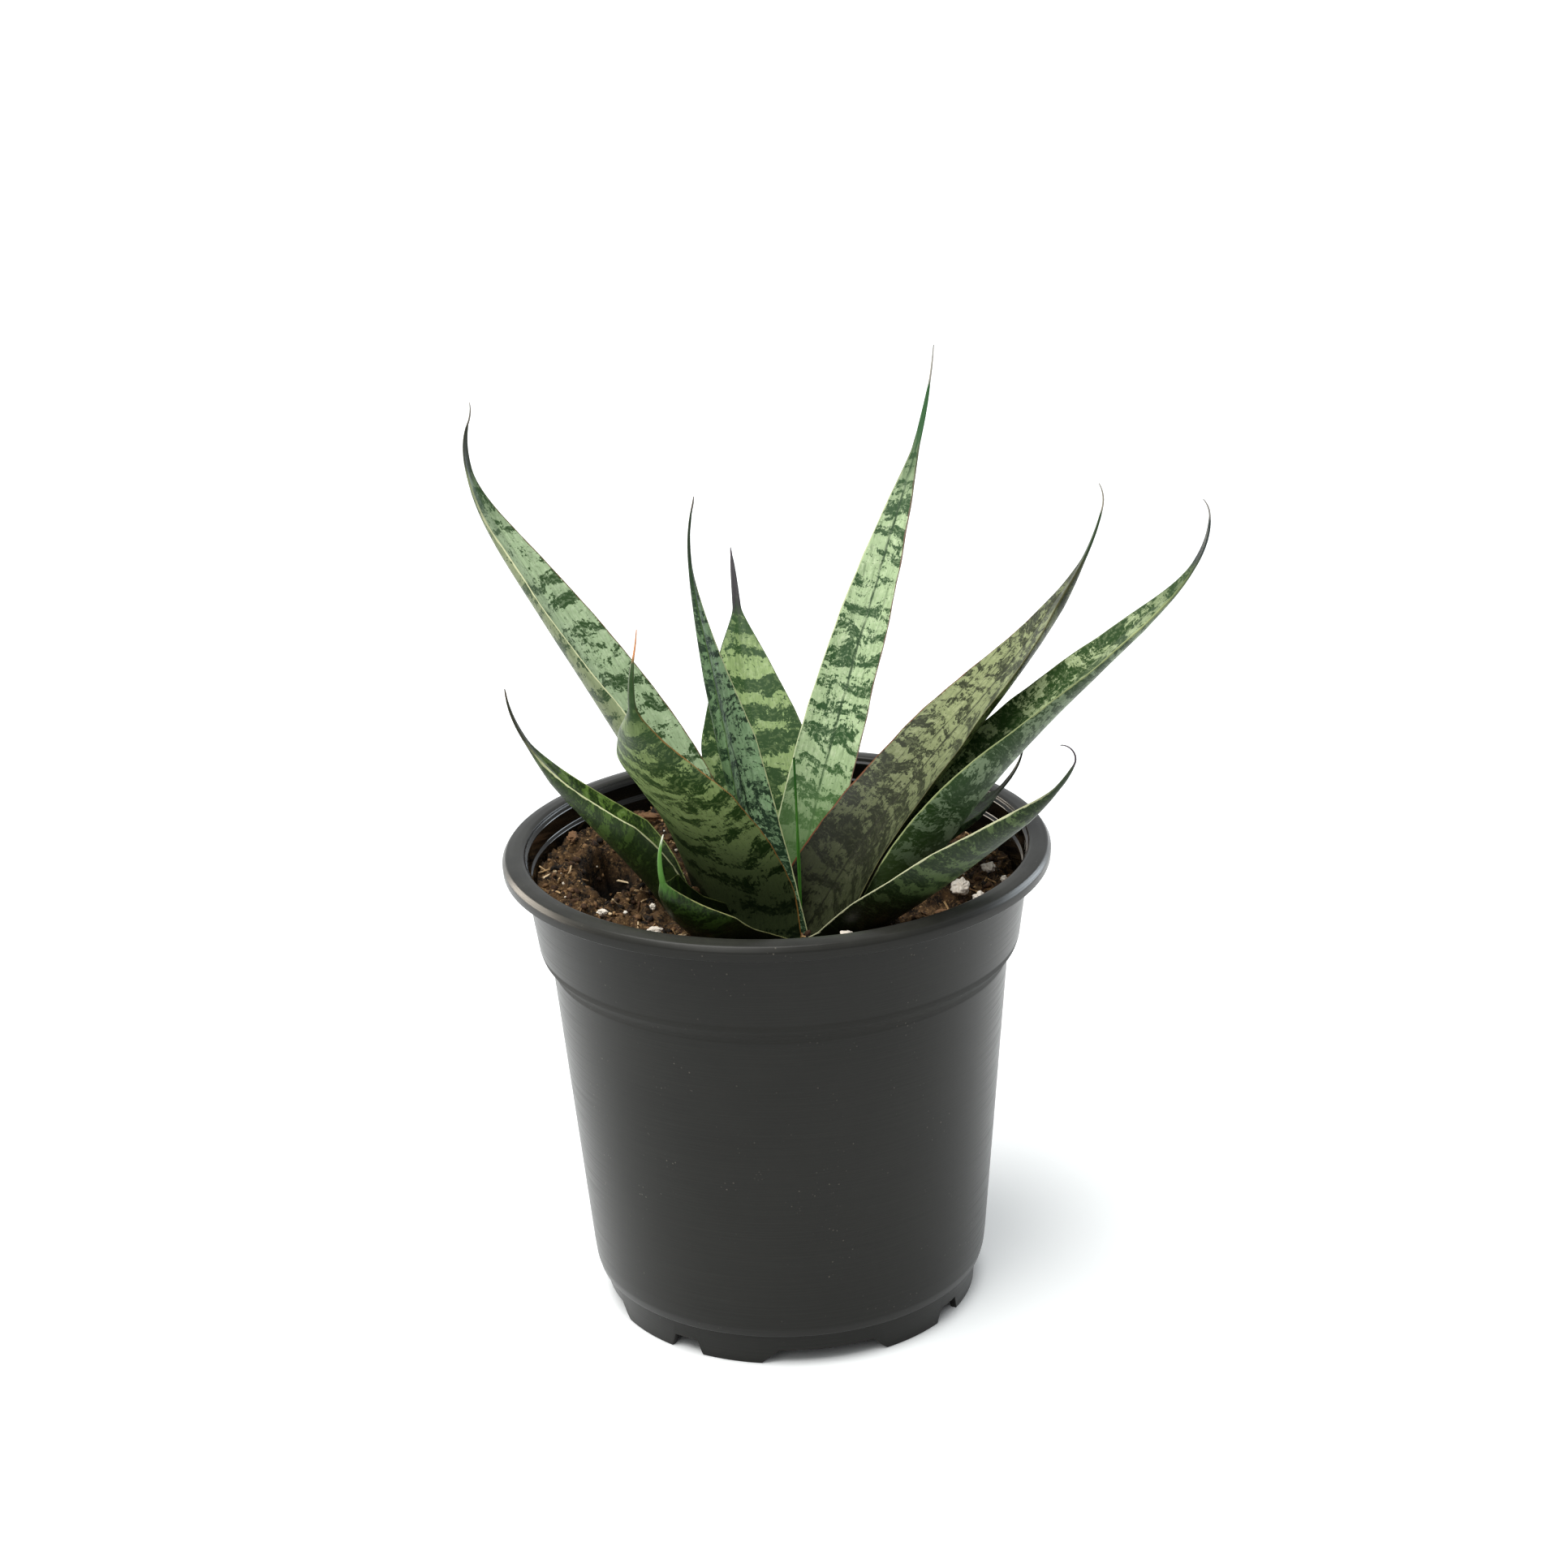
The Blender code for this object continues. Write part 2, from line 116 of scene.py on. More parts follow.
# Hollows in the mix: the centre, the two radii and the depth. One is a deep pit, and one is round the
# leaves' feet. A hollow's side starts just outside its radii and falls over a share of them.
Hollow = namedtuple("Hollow", "centre radii depth")
PIT = Hollow((-32.2, 4.5), (5.6, 11.5), 14.0)
CROWN = Hollow((1.0, -17.0), (17.0, 22.0), 8.5)
HOLLOW_START = 1.08
HOLLOW_SIDE = 0.42
HOLLOW_RAG = 0.16

# The mix's crumbly top: how far the lumps and the grit in it stand up.
LUMP_RISE = 1.9
GRIT_RISE = 0.5

# Loose bits on the mix: how many, and the colours from the darkest to the palest.
CRUMBS = 1500
FIBRES = 520
WHITE_BITS = 70
CRUMB_BROWNS = ("150E08", "463020", "7A5C3E", "B8966A", "E6D0AC")
BARK_BROWNS = ("1E140C", "46301E", "7A5A3E", "9C7A56")
BIT_WHITES = ("C8B49A", "E8DCCB", "F6F0E6")
PERLITE_WHITES = ("B8A88E", "E4D8C8", "F7F2EA")
PERLITE_GRAINS = 8
BARK_GRAINS = 5
BIT_TILT = 0.5
GRAIN_SINK = 0.4
GRAIN_TONE = 0.75

# Leaves
LEAF_LEVEL = 83.0
PLANTED_DEPTH = 12.0
LEAF_HALF_THICKNESS = 1.0
MARGIN_HALF_THICKNESS = 0.14
SPIKE_HALF_WIDTH = 0.88
SPIKE_SHARE = 0.1
AWN_HALF_WIDTH = 0.19
LEAF_AROUND = 48
LEAF_ALONG = 190
HOOK_START = 0.75

# The blade's section thins below a half width, ripples towards its margins, and has a crease down the middle.
# Crowding packs the grid's columns towards the margins.
FULL_HALF_WIDTH = 4.0
MARGIN_WOBBLE = 0.012
MARGIN_CROWDING = 0.92
RIPPLE = 0.45
CREASE_DEPTH = 0.25
CREASE_HALF_WIDTH = 0.9

# base: where the midrib meets LEAF_LEVEL; heading: 0 is +X, 90 is +Y, and turn is added along the leaf;
# lean: from upright at foot, middle and tip, and hook is added over the last quarter; curl: half the arc that
# the channel's section makes, at foot and tip; roll: about the midrib, at foot and tip; awn: the dry thread.
Leaf = namedtuple(
    "Leaf",
    "name base heading turn lean hook length half_width widest foot_ratio taper curl roll spike awn awn_turn",
)
LEAVES = (
    Leaf("leaf_tall_left", (-12.1, -2.6), 148.5, -2, (26.5, 37.5, 35.5), -62, 104.5, 12, 0.23, 0.68, 1.53,
         (97, 44), (20, -8), 9, 4, 35),
    Leaf("leaf_front_left", (-7.3, -13.5), 220, 35, (4, 42.5, -3), -41, 70, 13, 0.6, 1, 1.4,
         (16, 31), (12.5, -23), 9, 5, 25),
    Leaf("leaf_low_left", (-18.8, -14.5), 159, -4.5, (30.5, 47, 23), -15, 54, 11, 0.41, 0.52, 1,
         (97, 21), (29, 13), 9, 1.5, 0),
    Leaf("leaf_short_front", (-10.4, -25.2), 230, 4, (60, 38, -16), -14, 33, 11.4, 0.5, 0.96, 1.4,
         (66, 80), (-11, -28), 8, 1, 0),
    Leaf("leaf_thin_back_left", (-1.7, -6.6), 137, 24, (16.5, 13.5, 1), -16, 78, 6.2, 0.46, 1, 1,
         (77, 72), (-14, 17), 10, 2, 10),
    Leaf("leaf_broad_back", (-2.5, 8.8), 100.5, -6, (17.5, 34, 35.5), 20, 66, 11.5, 0.45, 0.74, 1.22,
         (50, 36), (0, 0), 12, 1.5, 0),
    Leaf("leaf_tall_centre", (4.6, 3.2), 55.5, 5.5, (22.5, 36, 34.5), -12.5, 103.5, 7.1, 0.11, 0.76, 2.5,
         (45, 46), (11.5, 8.5), 12, 7, -10),
    Leaf("leaf_back_right", (9.6, -5.6), 14, 3, (33, 44.5, 21.5), -7, 91, 10.8, 0.47, 0.95, 1.52,
         (49, 24), (22, -21), 9, 5, -45),
    Leaf("leaf_long_right", (24.2, -9.9), 10, -1, (27.5, 46.5, 48), -50, 94, 13.2, 0.29, 0.8, 1.12,
         (97, 12), (-21, 11), 9, 3.5, -40),
    Leaf("leaf_low_right", (13.1, -25.1), -42, 18.5, (56, 49, 50), -26, 63, 10.2, 0.25, 0.76, 1.9,
         (42, 38), (-6, -18.5), 5, 5, -125),
    Leaf("leaf_centre_spear", (4.2, -6.0), 95, 2, (5, 6, 6), -3, 28, 0.3, 0.38, 0.75, 1.15,
         (75, 43), (2, 2), 5, 0, 0),
    Leaf("leaf_low_back_right", (20.4, 3.4), 17, 3, (52, 62, 27), -14, 37.5, 6.7, 0.44, 0.71, 1.65,
         (70, 33), (0, 6), 9, 1, 0),
)

# light, pale and dark: the greens of the leaf, its flecks and its bands; back: the outer face's tint, partly
# its own colour and partly painted shade; margins: on the side to the left of the heading and to its right,
# seen from the foot; tip and awn: their own colours; foot: the dark foot's colour, partly its own and partly
# painted shade where the leaves crowd at the mix; spacing: between bands; sag: how much lower a band is in
# the middle than at the margins; ragged and cover: how broken the bands are, and how much of the leaf is
# dark; midrib and
# ribs: how dark the line down the middle is, and the lines beside it; shade: how far the dark foot, with its
# painted shade, reaches up the leaf; margin: its width; solid: how dark the inside of a band is.
Look = namedtuple(
    "Look",
    "light pale dark back margin_left margin_right tip awn foot "
    "spacing sag ragged cover midrib ribs shade margin solid",
)
LOOKS = {
    "leaf_tall_left": Look(
        "AEC59C", "C6D8B4", "2E4A24", "90996E", "DDE0B4", "6B5030", "2E302C", "8E8880", "3A4424",
        6.2, -0.6, 0.8, 0.43, 0.15, 0.1, 12, 0.20, 0.72,
    ),
    "leaf_front_left": Look(
        "A3BC78", "BCD092", "28441A", "A3BC78", "A87A40", "7A8A50", "26421C", "C07C48", "0E150A",
        6.6, 1.3, 0.8, 0.48, 0.1, 0.1, 26, 0.20, 0.66,
    ),
    "leaf_low_left": Look(
        "587430", "7A9454", "1C300C", "46602A", "C6CA9C", "8C9A5C", "2A2A20", "5A4E40", "141E08",
        4.5, 0.8, 0.9, 0.55, 0.0, 0.1, 24, 0.24, 0.62,
    ),
    "leaf_short_front": Look(
        "3C541F", "54702F", "142208", "2E441A", "A6A86E", "6E7844", "5E9440", "E0E4D0", "0E1606",
        4.0, 0.5, 0.8, 0.56, 0.0, 0.1, 16, 0.18, 0.6,
    ),
    "leaf_thin_back_left": Look(
        "92B488", "AECBA0", "16301C", "64825A", "4A6638", "C2C896", "20301C", "6A6058", "86AE88",
        4.2, -0.8, 1.1, 0.53, 0.85, 0.35, 0, 0.18, 0.45,
    ),
    "leaf_broad_back": Look(
        "98B074", "B0C490", "2C4A22", "809C64", "3E5628", "5A6638", "362E38", "4A4048", "2E4C2C",
        6.0, -0.7, 0.65, 0.52, 0.1, 0.1, 8, 0.16, 0.78,
    ),
    "leaf_tall_centre": Look(
        "B2C99A", "CEDEB6", "24481F", "847E84", "D2DCAE", "74584A", "2C5A30", "A8A49C", "5A7C46",
        5.4, -0.5, 0.85, 0.45, 0.95, 0.3, 30, 0.20, 0.66,
    ),
    "leaf_back_right": Look(
        "909A6C", "AAB286", "242C10", "6E7850", "74462C", "5E5C3A", "1E3A1A", "A8A094", "12140A",
        5.4, -0.8, 1.0, 0.49, 1.0, 0.8, 48, 0.26, 0.66,
    ),
    "leaf_long_right": Look(
        "A2B284", "BAC8A0", "26421A", "7E9678", "5A683C", "A2AE78", "2C343A", "A8A4A0", "2C3A1A",
        6.4, -0.5, 0.95, 0.51, 0.1, 0.25, 24, 0.30, 0.74,
    ),
    "leaf_low_right": Look(
        "7A8E5E", "96AA76", "182A0E", "4C6238", "8CA05E", "D8DAB0", "30402C", "4A4048", "0A1204",
        5.0, 0.3, 0.95, 0.57, 0.1, 0.1, 38, 0.25, 0.64,
    ),
    "leaf_centre_spear": Look(
        "3E7A26", "4E8A36", "2A5E1C", "3E7A26", "4E8A34", "4E8A34", "2E6424", "2E6424", "101A08",
        4.0, 0.0, 0.4, 0.4, 0.0, 0.0, 24, 0.10, 0.5,
    ),
    "leaf_low_back_right": Look(
        "3E5A32", "506C44", "18260E", "445C3A", "32421E", "5E6E48", "20281C", "20281C", "0E1606",
        4.5, 0.0, 0.8, 0.56, 0.0, 0.1, 18, 0.16, 0.6,
    ),
}

# The bands: how far they drift from level, and how much each kind of break counts.
BAND_DRIFT = 7.0
STREAK_WEIGHT = 0.85
PATCH_WEIGHT = 1.1
COMB_WEIGHT = 0.6
BREATH_WEIGHT = 0.5

# The lines beside the midrib stand this far apart. The tip darkens over this share of the length, and the
# dark foot, partly painted shade, starts to fade this far above the mix. A leaf's own map is in tens of
# millimetres.
RIB_SPACING = 3.4
DUSK_SHARE = 0.2
FOOT_TONE_AND_SHADE_START = 2.0
LAY_SCALE = 10.0

# How much wider, at its foot, a leaf is on the side that laps over its neighbour, and up to what share of it.
LAPS = {"leaf_back_right": 5.0, "leaf_long_right": 1.5}
LAP_REACH = 0.5

# Light. The sky and the floor are brighter to the eye and in reflections than in the light they give, and the
# floor's glow fades out under the pot, between the two radii. Lamps: name, place in metres from the pot's
# axis, kind, power, angle or width, colour. A rim lamp gives only shine.
SKY_LIGHT = 0.34
SKY_SHINE = 0.75
SKY_SEEN = 1.15
SKY_COLOUR = (0.96, 0.985, 1.0, 1)
FLOOR_SEEN = (0.955, 0.97, 0.975, 1)
FLOOR_BOUNCE = (0.5, 0.5, 0.49, 1)
FLOOR_GLOW = 0.37
GLOW_COLOUR = (0.95, 0.99, 1.0, 1)
GLOW_RADII = (0.034, 0.040)
LIGHTS_AIM = Vector((0, 0, 0.09))
LIGHTS = (
    ("window", (-0.34, -0.22, 1.20), "SUN", 3.05, 50, (1.0, 0.99, 0.965)),
    ("front_glow", (-0.45, -1.10, 0.95), "AREA", 3.0, 0.9, (1.0, 1.0, 0.97)),
    ("warm_rim", (-1.00, 0.50, 0.20), "AREA", 15.0, 0.7, (1.0, 0.90, 0.76)),
    ("cool_rim", (1.05, 0.55, 0.20), "AREA", 11.0, 0.7, (0.84, 0.93, 1.0)),
)

# Camera: its place in metres from the pot's axis, and its turns in degrees.
CAMERA_LENS = 71.98
CAMERA_PLACE = Vector((0, -0.560, 0.31026))
CAMERA_YAW = -0.19
CAMERA_DIP = 20.18
CAMERA_ROLL = -2.0

random.seed(7)


# ---- small helpers ----


def linear(code):
    """A colour as light, from its six-digit screen code."""
    shares = [int(code[k : k + 2], 16) / 255 for k in (0, 2, 4)]
    return (*(c / 12.92 if c <= 0.04045 else ((c + 0.055) / 1.055) ** 2.4 for c in shares), 1)


def between(ends, share):
    return ends[0] + (ends[1] - ends[0]) * share


def deselect():
    bpy.ops.object.select_all(action="DESELECT")


def pick(piece):
    """Selects one piece and nothing else."""
    deselect()
    piece.select_set(True)
    bpy.context.view_layer.objects.active = piece


def hand_over(piece, material, slot, *nodes):
    """Gives a finished piece its material and its place in the part."""
    piece.data.materials.clear()
    piece.data.materials.append(material)
    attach(piece, "root")
    if nodes:
        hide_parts(*nodes)


def apply_place(piece):
    pick(piece)
    bpy.ops.object.transform_apply(location=True, rotation=True, scale=True)


def apply_modifiers(piece):
    pick(piece)
    for name in [modifier.name for modifier in piece.modifiers]:
        bpy.ops.object.modifier_apply(modifier=name)


class Board:
    """A node tree being wired: each call adds a node, sets it and joins its inputs."""

    def __init__(self, tree):
        self.tree = tree

    def add(self, kind, inputs, **settings):
        node = self.tree.nodes.new("ShaderNode" + kind)
        for key, value in settings.items():
            setattr(node, key, value)
        for key, value in inputs.items():
            self.join(node.inputs[key], value)
        return node

    def join(self, socket, value):
        if isinstance(value, bpy.types.NodeSocket):
            self.tree.links.new(value, socket)
        else:
            socket.default_value = value

    def calc(self, operation, *values):
        return self.add("Math", dict(enumerate(values)), operation=operation).outputs[0]

    def times(self, first, second):
        return self.calc("MULTIPLY", first, second)

    def plus(self, first, second):
        return self.calc("ADD", first, second)

    def minus(self, first, second):
        return self.calc("SUBTRACT", first, second)

    def ramp(self, value, low, high, to_low=0.0, to_high=1.0):
        """Goes smoothly from to_low to to_high as value goes from low to high."""
        names = {"Value": value, "From Min": low, "From Max": high, "To Min": to_low, "To Max": to_high}
        return self.add("MapRange", names, interpolation_type="SMOOTHSTEP").outputs[0]

    def mix(self, share, first, second):
        return self.add("Mix", {0: share, 6: first, 7: second}, data_type="RGBA").outputs[2]

    def point(self, x, y, z):
        return self.add("CombineXYZ", {"X": x, "Y": y, "Z": z}).outputs[0]

    def noise(self, place, scale, detail=3.0, roughness=0.5):
        names = {"Vector": place, "Scale": scale, "Detail": detail, "Roughness": roughness}
        return self.add("TexNoise", names).outputs["Fac"]

    def stray(self, place, scale, detail=3.0, roughness=0.5):
        """Noise that strays to both sides of nothing."""
        return self.minus(self.noise(place, scale, detail, roughness), 0.5)

    def attribute(self, name):
        return self.add("Attribute", {}, attribute_name=name).outputs["Fac"]

    def bump(self, height, strength, distance):
        names = {"Height": height, "Strength": strength, "Distance": distance}
        return self.add("Bump", names).outputs["Normal"]


def new_material(name):
    """A new material, the board for its nodes, and its shader."""
    material = bpy.data.materials.new(name)
    material.use_nodes = True
    return material, Board(material.node_tree), material.node_tree.nodes["Principled BSDF"]


def new_group(name, inputs, outputs):
    """An empty node group with named float sockets. inputs gives their starting values."""
    group = bpy.data.node_groups.new(name, "ShaderNodeTree")
    for key, value in inputs.items():
        socket = group.interface.new_socket(key, in_out="INPUT", socket_type="NodeSocketFloat")
        socket.default_value = value
    for key in outputs:
        group.interface.new_socket(key, in_out="OUTPUT", socket_type="NodeSocketFloat")
    board = Board(group)
    return board, group.nodes.new("NodeGroupInput").outputs, group.nodes.new("NodeGroupOutput").inputs


def make_bands_group():
    """The leaves' cross-bands: transverse streaks with ragged ends, and paler flecks between them."""
    board, given, made = new_group(
        "leaf_bands",
        {"Across": 0, "Along": 0, "Spacing": 6, "Sag": 0, "Ragged": 0.6, "Cover": 0.5, "Seed": 0},
        ("Zone", "Dark", "Pale"),
    )
    across, along, seed = given["Across"], given["Along"], given["Seed"]
    # each band hangs lower or higher in the middle, and drifts
    sag = board.times(given["Sag"], board.times(board.calc("POWER", across, 2.0), 0.02))
    drift_place = board.point(board.times(across, 0.12), board.times(along, 0.1), seed)
    drift = board.times(board.stray(drift_place, 1.0, 2.0), BAND_DRIFT)
    bent = board.plus(board.minus(along, sag), drift)
    steps = board.calc("DIVIDE", bent, given["Spacing"])
    wave = board.calc("SINE", board.times(steps, math.tau))
    # what breaks the bands: long streaks, patches, a fine comb, and a slow breath that thins them out
    streak_place = board.point(board.times(across, 0.16), board.times(steps, 2.1), seed)
    streak = board.stray(streak_place, 1.0, 3.0, 0.55)
    patch_seed = board.plus(seed, 11.0)
    patch_place = board.point(board.times(across, 0.4), board.times(bent, 0.62), patch_seed)
    patch = board.stray(patch_place, 1.0, 5.0, 0.7)
    comb_seed = board.plus(seed, 23.0)
    comb_place = board.point(board.times(across, 2.4), along, comb_seed)
    comb = board.stray(comb_place, 1.0, 3.0, 0.6)
    rag = board.plus(board.times(patch, PATCH_WEIGHT), board.times(comb, COMB_WEIGHT))
    ragged = board.times(given["Ragged"], rag)
    swing = board.minus(0.19, board.times(given["Ragged"], 0.12))
    breath_place = board.point(board.times(across, 0.03), board.times(along, 0.055), seed)
    breath = board.times(board.stray(breath_place, 1.0, 2.0), BREATH_WEIGHT)
    body = board.plus(board.times(wave, swing), breath)
    body = board.plus(body, board.plus(board.times(streak, STREAK_WEIGHT), ragged))
    level = board.plus(body, given["Cover"])
    zone = board.ramp(level, 0.47, 0.53)
    # fine dark squiggles: thick in the bands, along their borders, and a few between them
    fine_seed = board.plus(seed, 31.0)
    fine_place = board.point(board.times(across, 0.95), board.times(bent, 1.7), fine_seed)
    fine = board.noise(fine_place, 1.0, 4.0, 0.68)
    border = board.ramp(board.calc("ABSOLUTE", board.minus(level, 0.5)), 0.0, 0.045, 1.0, 0.0)
    border = board.times(border, board.ramp(fine, 0.38, 0.48))
    thick = board.times(zone, board.ramp(fine, 0.42, 0.5))
    few = board.ramp(fine, 0.6, 0.66, 0.0, 0.8)
    board.join(made["Zone"], zone)
    board.join(made["Dark"], board.calc("MAXIMUM", board.calc("MAXIMUM", border, thick), few))
    board.join(made["Pale"], board.ramp(board.minus(comb, board.times(patch, 0.8)), 0.0, 0.2))
    return board.tree


def make_skin_group():
    """What each leaf has besides bands: grain, lines down the middle, a dark foot that is partly painted
    shade, margins and a dry tip.
    """
    board, given, made = new_group(
        "leaf_skin",
        dict(Across=0, Along=0, Edge=1, Seed=0, Midrib=0, Ribs=0, Shade=20, Margin=0.2, Neck=60, Length=70),
        ("Grain", "Lines", "Foot", "Side", "Rim", "Dusk", "Dry", "Thread", "Ridges"),
    )
    across, along, seed = given["Across"], given["Along"], given["Seed"]
    grain_place = board.point(board.times(across, 1.4), board.times(along, 0.25), seed)
    grain = board.noise(grain_place, 1.0, 4.0, 0.65)
    board.join(made["Grain"], grain)
    # the line down the middle wanders, and fainter ones run beside it
    wander = board.times(board.stray(board.point(0.0, along, seed), 0.2), 1.2)
    off_middle = board.minus(across, wander)
    line = board.ramp(board.calc("ABSOLUTE", off_middle), 0.12, 0.42, 1.0, 0.0)
    line = board.times(line, given["Midrib"])
    swing = board.calc("ABSOLUTE", board.calc("SINE", board.times(off_middle, math.pi / RIB_SPACING)))
    rib = board.times(board.ramp(swing, 0.06, 0.3, 1.0, 0.0), given["Ribs"])
    line = board.calc("MAXIMUM", line, board.times(rib, board.ramp(grain, 0.4, 0.6)))
    board.join(made["Lines"], board.times(line, board.ramp(grain, 0.35, 0.6, 0.45, 1.0)))
    # the dark foot, partly its own colour and partly painted shade; a leaf with no shade has none
    reach = board.plus(along, board.times(board.minus(grain, 0.5), 12.0))
    high = board.plus(given["Shade"], FOOT_TONE_AND_SHADE_START + 0.01)
    full = board.calc("MINIMUM", given["Shade"], 0.9)
    board.join(made["Foot"], board.ramp(reach, FOOT_TONE_AND_SHADE_START, high, full, 0.0))
    # the horny margins, worn along their length
    board.join(made["Side"], board.ramp(across, -0.2, 0.2))
    worn_place = board.point(across, board.times(along, 0.35), board.plus(seed, 3.0))
    worn = board.noise(worn_place, 1.0, 3.0, 0.6)
    width = board.times(board.ramp(worn, 0.3, 0.7, 0.55, 1.35), given["Margin"])
    rim = board.ramp(board.calc("DIVIDE", given["Edge"], width), 0.75, 1.15)
    board.join(made["Rim"], board.minus(1.0, rim))
    # towards its tip the leaf darkens, the spike is of one colour, and the thread is dry
    dry = board.plus(along, board.times(board.minus(grain, 0.5), 9.0))
    dusk_start = board.minus(given["Neck"], board.times(given["Length"], DUSK_SHARE))
    board.join(made["Dusk"], board.ramp(dry, dusk_start, given["Neck"], 0.0, 0.75))
    dry_start = board.minus(given["Neck"], 4.0)
    board.join(made["Dry"], board.ramp(dry, dry_start, board.plus(given["Neck"], 2.0), 0.0, 0.9))
    thread_start = board.minus(given["Length"], 1.5)
    board.join(made["Thread"], board.ramp(along, thread_start, board.plus(given["Length"], 0.5)))
    ridge_place = board.point(board.times(across, 2.2), board.times(along, 0.12), seed)
    board.join(made["Ridges"], board.noise(ridge_place, 1.0, 3.0, 0.6))
    return board.tree


def make_leaf_material(leaf, look, bands, skin, seed):
    material, board, shader = new_material(leaf.name)
    lay = board.add("UVMap", {}, uv_map="lay").outputs[0]
    parts = board.add("SeparateXYZ", {"Vector": lay}).outputs
    across = board.times(parts["X"], LAY_SCALE)
    along = board.times(parts["Y"], LAY_SCALE)
    inner = board.attribute("inner")
    bands_here = {
        "Across": across,
        "Along": along,
        "Spacing": look.spacing,
        "Sag": look.sag,
        "Ragged": look.ragged,
        "Cover": look.cover,
        "Seed": seed * 7.3,
    }
    pattern = board.add("Group", bands_here, node_tree=bands).outputs
    skin_here = {
        "Across": across,
        "Along": along,
        "Edge": board.attribute("edge"),
        "Seed": seed,
        "Midrib": look.midrib,
        "Ribs": look.ribs,
        "Shade": look.shade,
        "Margin": look.margin,
        "Neck": leaf.length - leaf.spike,
        "Length": leaf.length,
    }
    marks = board.add("Group", skin_here, node_tree=skin).outputs
    dark = linear(look.dark)
    face = board.mix(board.times(pattern["Pale"], 0.7), linear(look.light), linear(look.pale))
    # the outer face takes the back tint, partly its own colour and partly painted shade
    face = board.mix(inner, board.mix(0.75, face, linear(look.back)), face)
    face = board.mix(pattern["Zone"], face, board.mix(look.solid, face, dark))
    face = board.mix(board.times(pattern["Dark"], 0.95), face, dark)
    face = board.mix(board.ramp(marks["Grain"], 0.4, 0.8, 0.0, 0.5), face, dark)
    face = board.mix(board.times(marks["Lines"], inner), face, [c * 0.7 for c in dark[:3]] + [1])
    # the dark foot: partly the leaf's own colour, partly painted shade where the leaves crowd at the mix
    face = board.mix(marks["Foot"], face, linear(look.foot))
    horn = board.mix(marks["Side"], linear(look.margin_right), linear(look.margin_left))
    face = board.mix(board.times(marks["Rim"], 0.92), face, horn)
    face = board.mix(marks["Dusk"], face, dark)
    face = board.mix(marks["Dry"], face, linear(look.tip))
    face = board.mix(marks["Thread"], face, linear(look.awn))
    board.join(shader.inputs["Base Color"], face)
    board.join(shader.inputs["Roughness"], board.ramp(marks["Grain"], 0.3, 0.7, 0.36, 0.5))
    shader.inputs["Specular IOR Level"].default_value = 0.2
    height = board.plus(marks["Ridges"], board.times(pattern["Dark"], -0.12))
    board.join(shader.inputs["Normal"], board.bump(height, 0.35, 0.00018))
    return material


# ---- leaves ----


def lean_along(leaf, s):
    """The lean from upright at share s of the leaf's length: a parabola through three leans, and the hook."""
    foot, middle, tip = leaf.lean
    curve = foot * (1 - s) * (1 - 2 * s) + middle * 4 * s * (1 - s) + tip * s * (2 * s - 1)
    hook = max(0, (s - HOOK_START) / (1 - HOOK_START))
    return curve + leaf.hook * hook * hook


def tangent_along(leaf, length):
    s = max(0, min(1, length / leaf.length))
    heading = math.radians(leaf.heading + leaf.turn * s)
    lean = lean_along(leaf, s)
    if length > leaf.length:
        lean += leaf.awn_turn * (length - leaf.length) / leaf.awn
    lean = math.radians(lean)
    return Vector((math.sin(lean) * math.cos(heading), math.sin(lean) * math.sin(heading), math.cos(lean)))


def half_width_along(leaf, length):
    """Half of the blade's width, measured round its channel: a blade, a narrow spike and a thread."""
    s = max(0, min(1, length / leaf.length))
    neck = 1 - leaf.spike / leaf.length
    t = min(s / neck, 1)
    if t < leaf.widest:
        blade = leaf.foot_ratio + (1 - leaf.foot_ratio) * math.sin(math.pi / 2 * t / leaf.widest)
    else:
        blade = 1 - ((t - leaf.widest) / (1 - leaf.widest)) ** leaf.taper
    spike = min(SPIKE_HALF_WIDTH, SPIKE_SHARE * leaf.half_width)
    spike *= math.sqrt(max(0, min(1, (1 - s) / (1 - neck))))
    width = max(math.hypot(leaf.half_width * blade, spike), AWN_HALF_WIDTH)
    if length > leaf.length:
        width *= 1 - 0.6 * (length - leaf.length) / max(leaf.awn, 1)
    return width


def leaf_rows(leaf, count):
    """The midrib's length, point, side and inner-face directions at each row of the leaf's grid."""
    rows = []
    low = -PLANTED_DEPTH
    whole = leaf.length + leaf.awn - low
    point = Vector((*leaf.base, LEAF_LEVEL)) - tangent_along(leaf, 0) * PLANTED_DEPTH
    length = low
    for k in range(count + 1):
        target = low + whole * k / count
        point = point + tangent_along(leaf, (length + target) / 2) * (target - length)
        length = target
        s = max(0, min(1, length / leaf.length))
        heading = math.radians(leaf.heading + leaf.turn * s)
        side = Vector((-math.sin(heading), math.cos(heading), 0))
        inward = tangent_along(leaf, length).cross(side)
        roll = math.radians(between(leaf.roll, s))
        turned_side = side * math.cos(roll) + inward * math.sin(roll)
        turned_inward = inward * math.cos(roll) - side * math.sin(roll)
        rows.append((length, point.copy(), turned_side, turned_inward))
    return rows


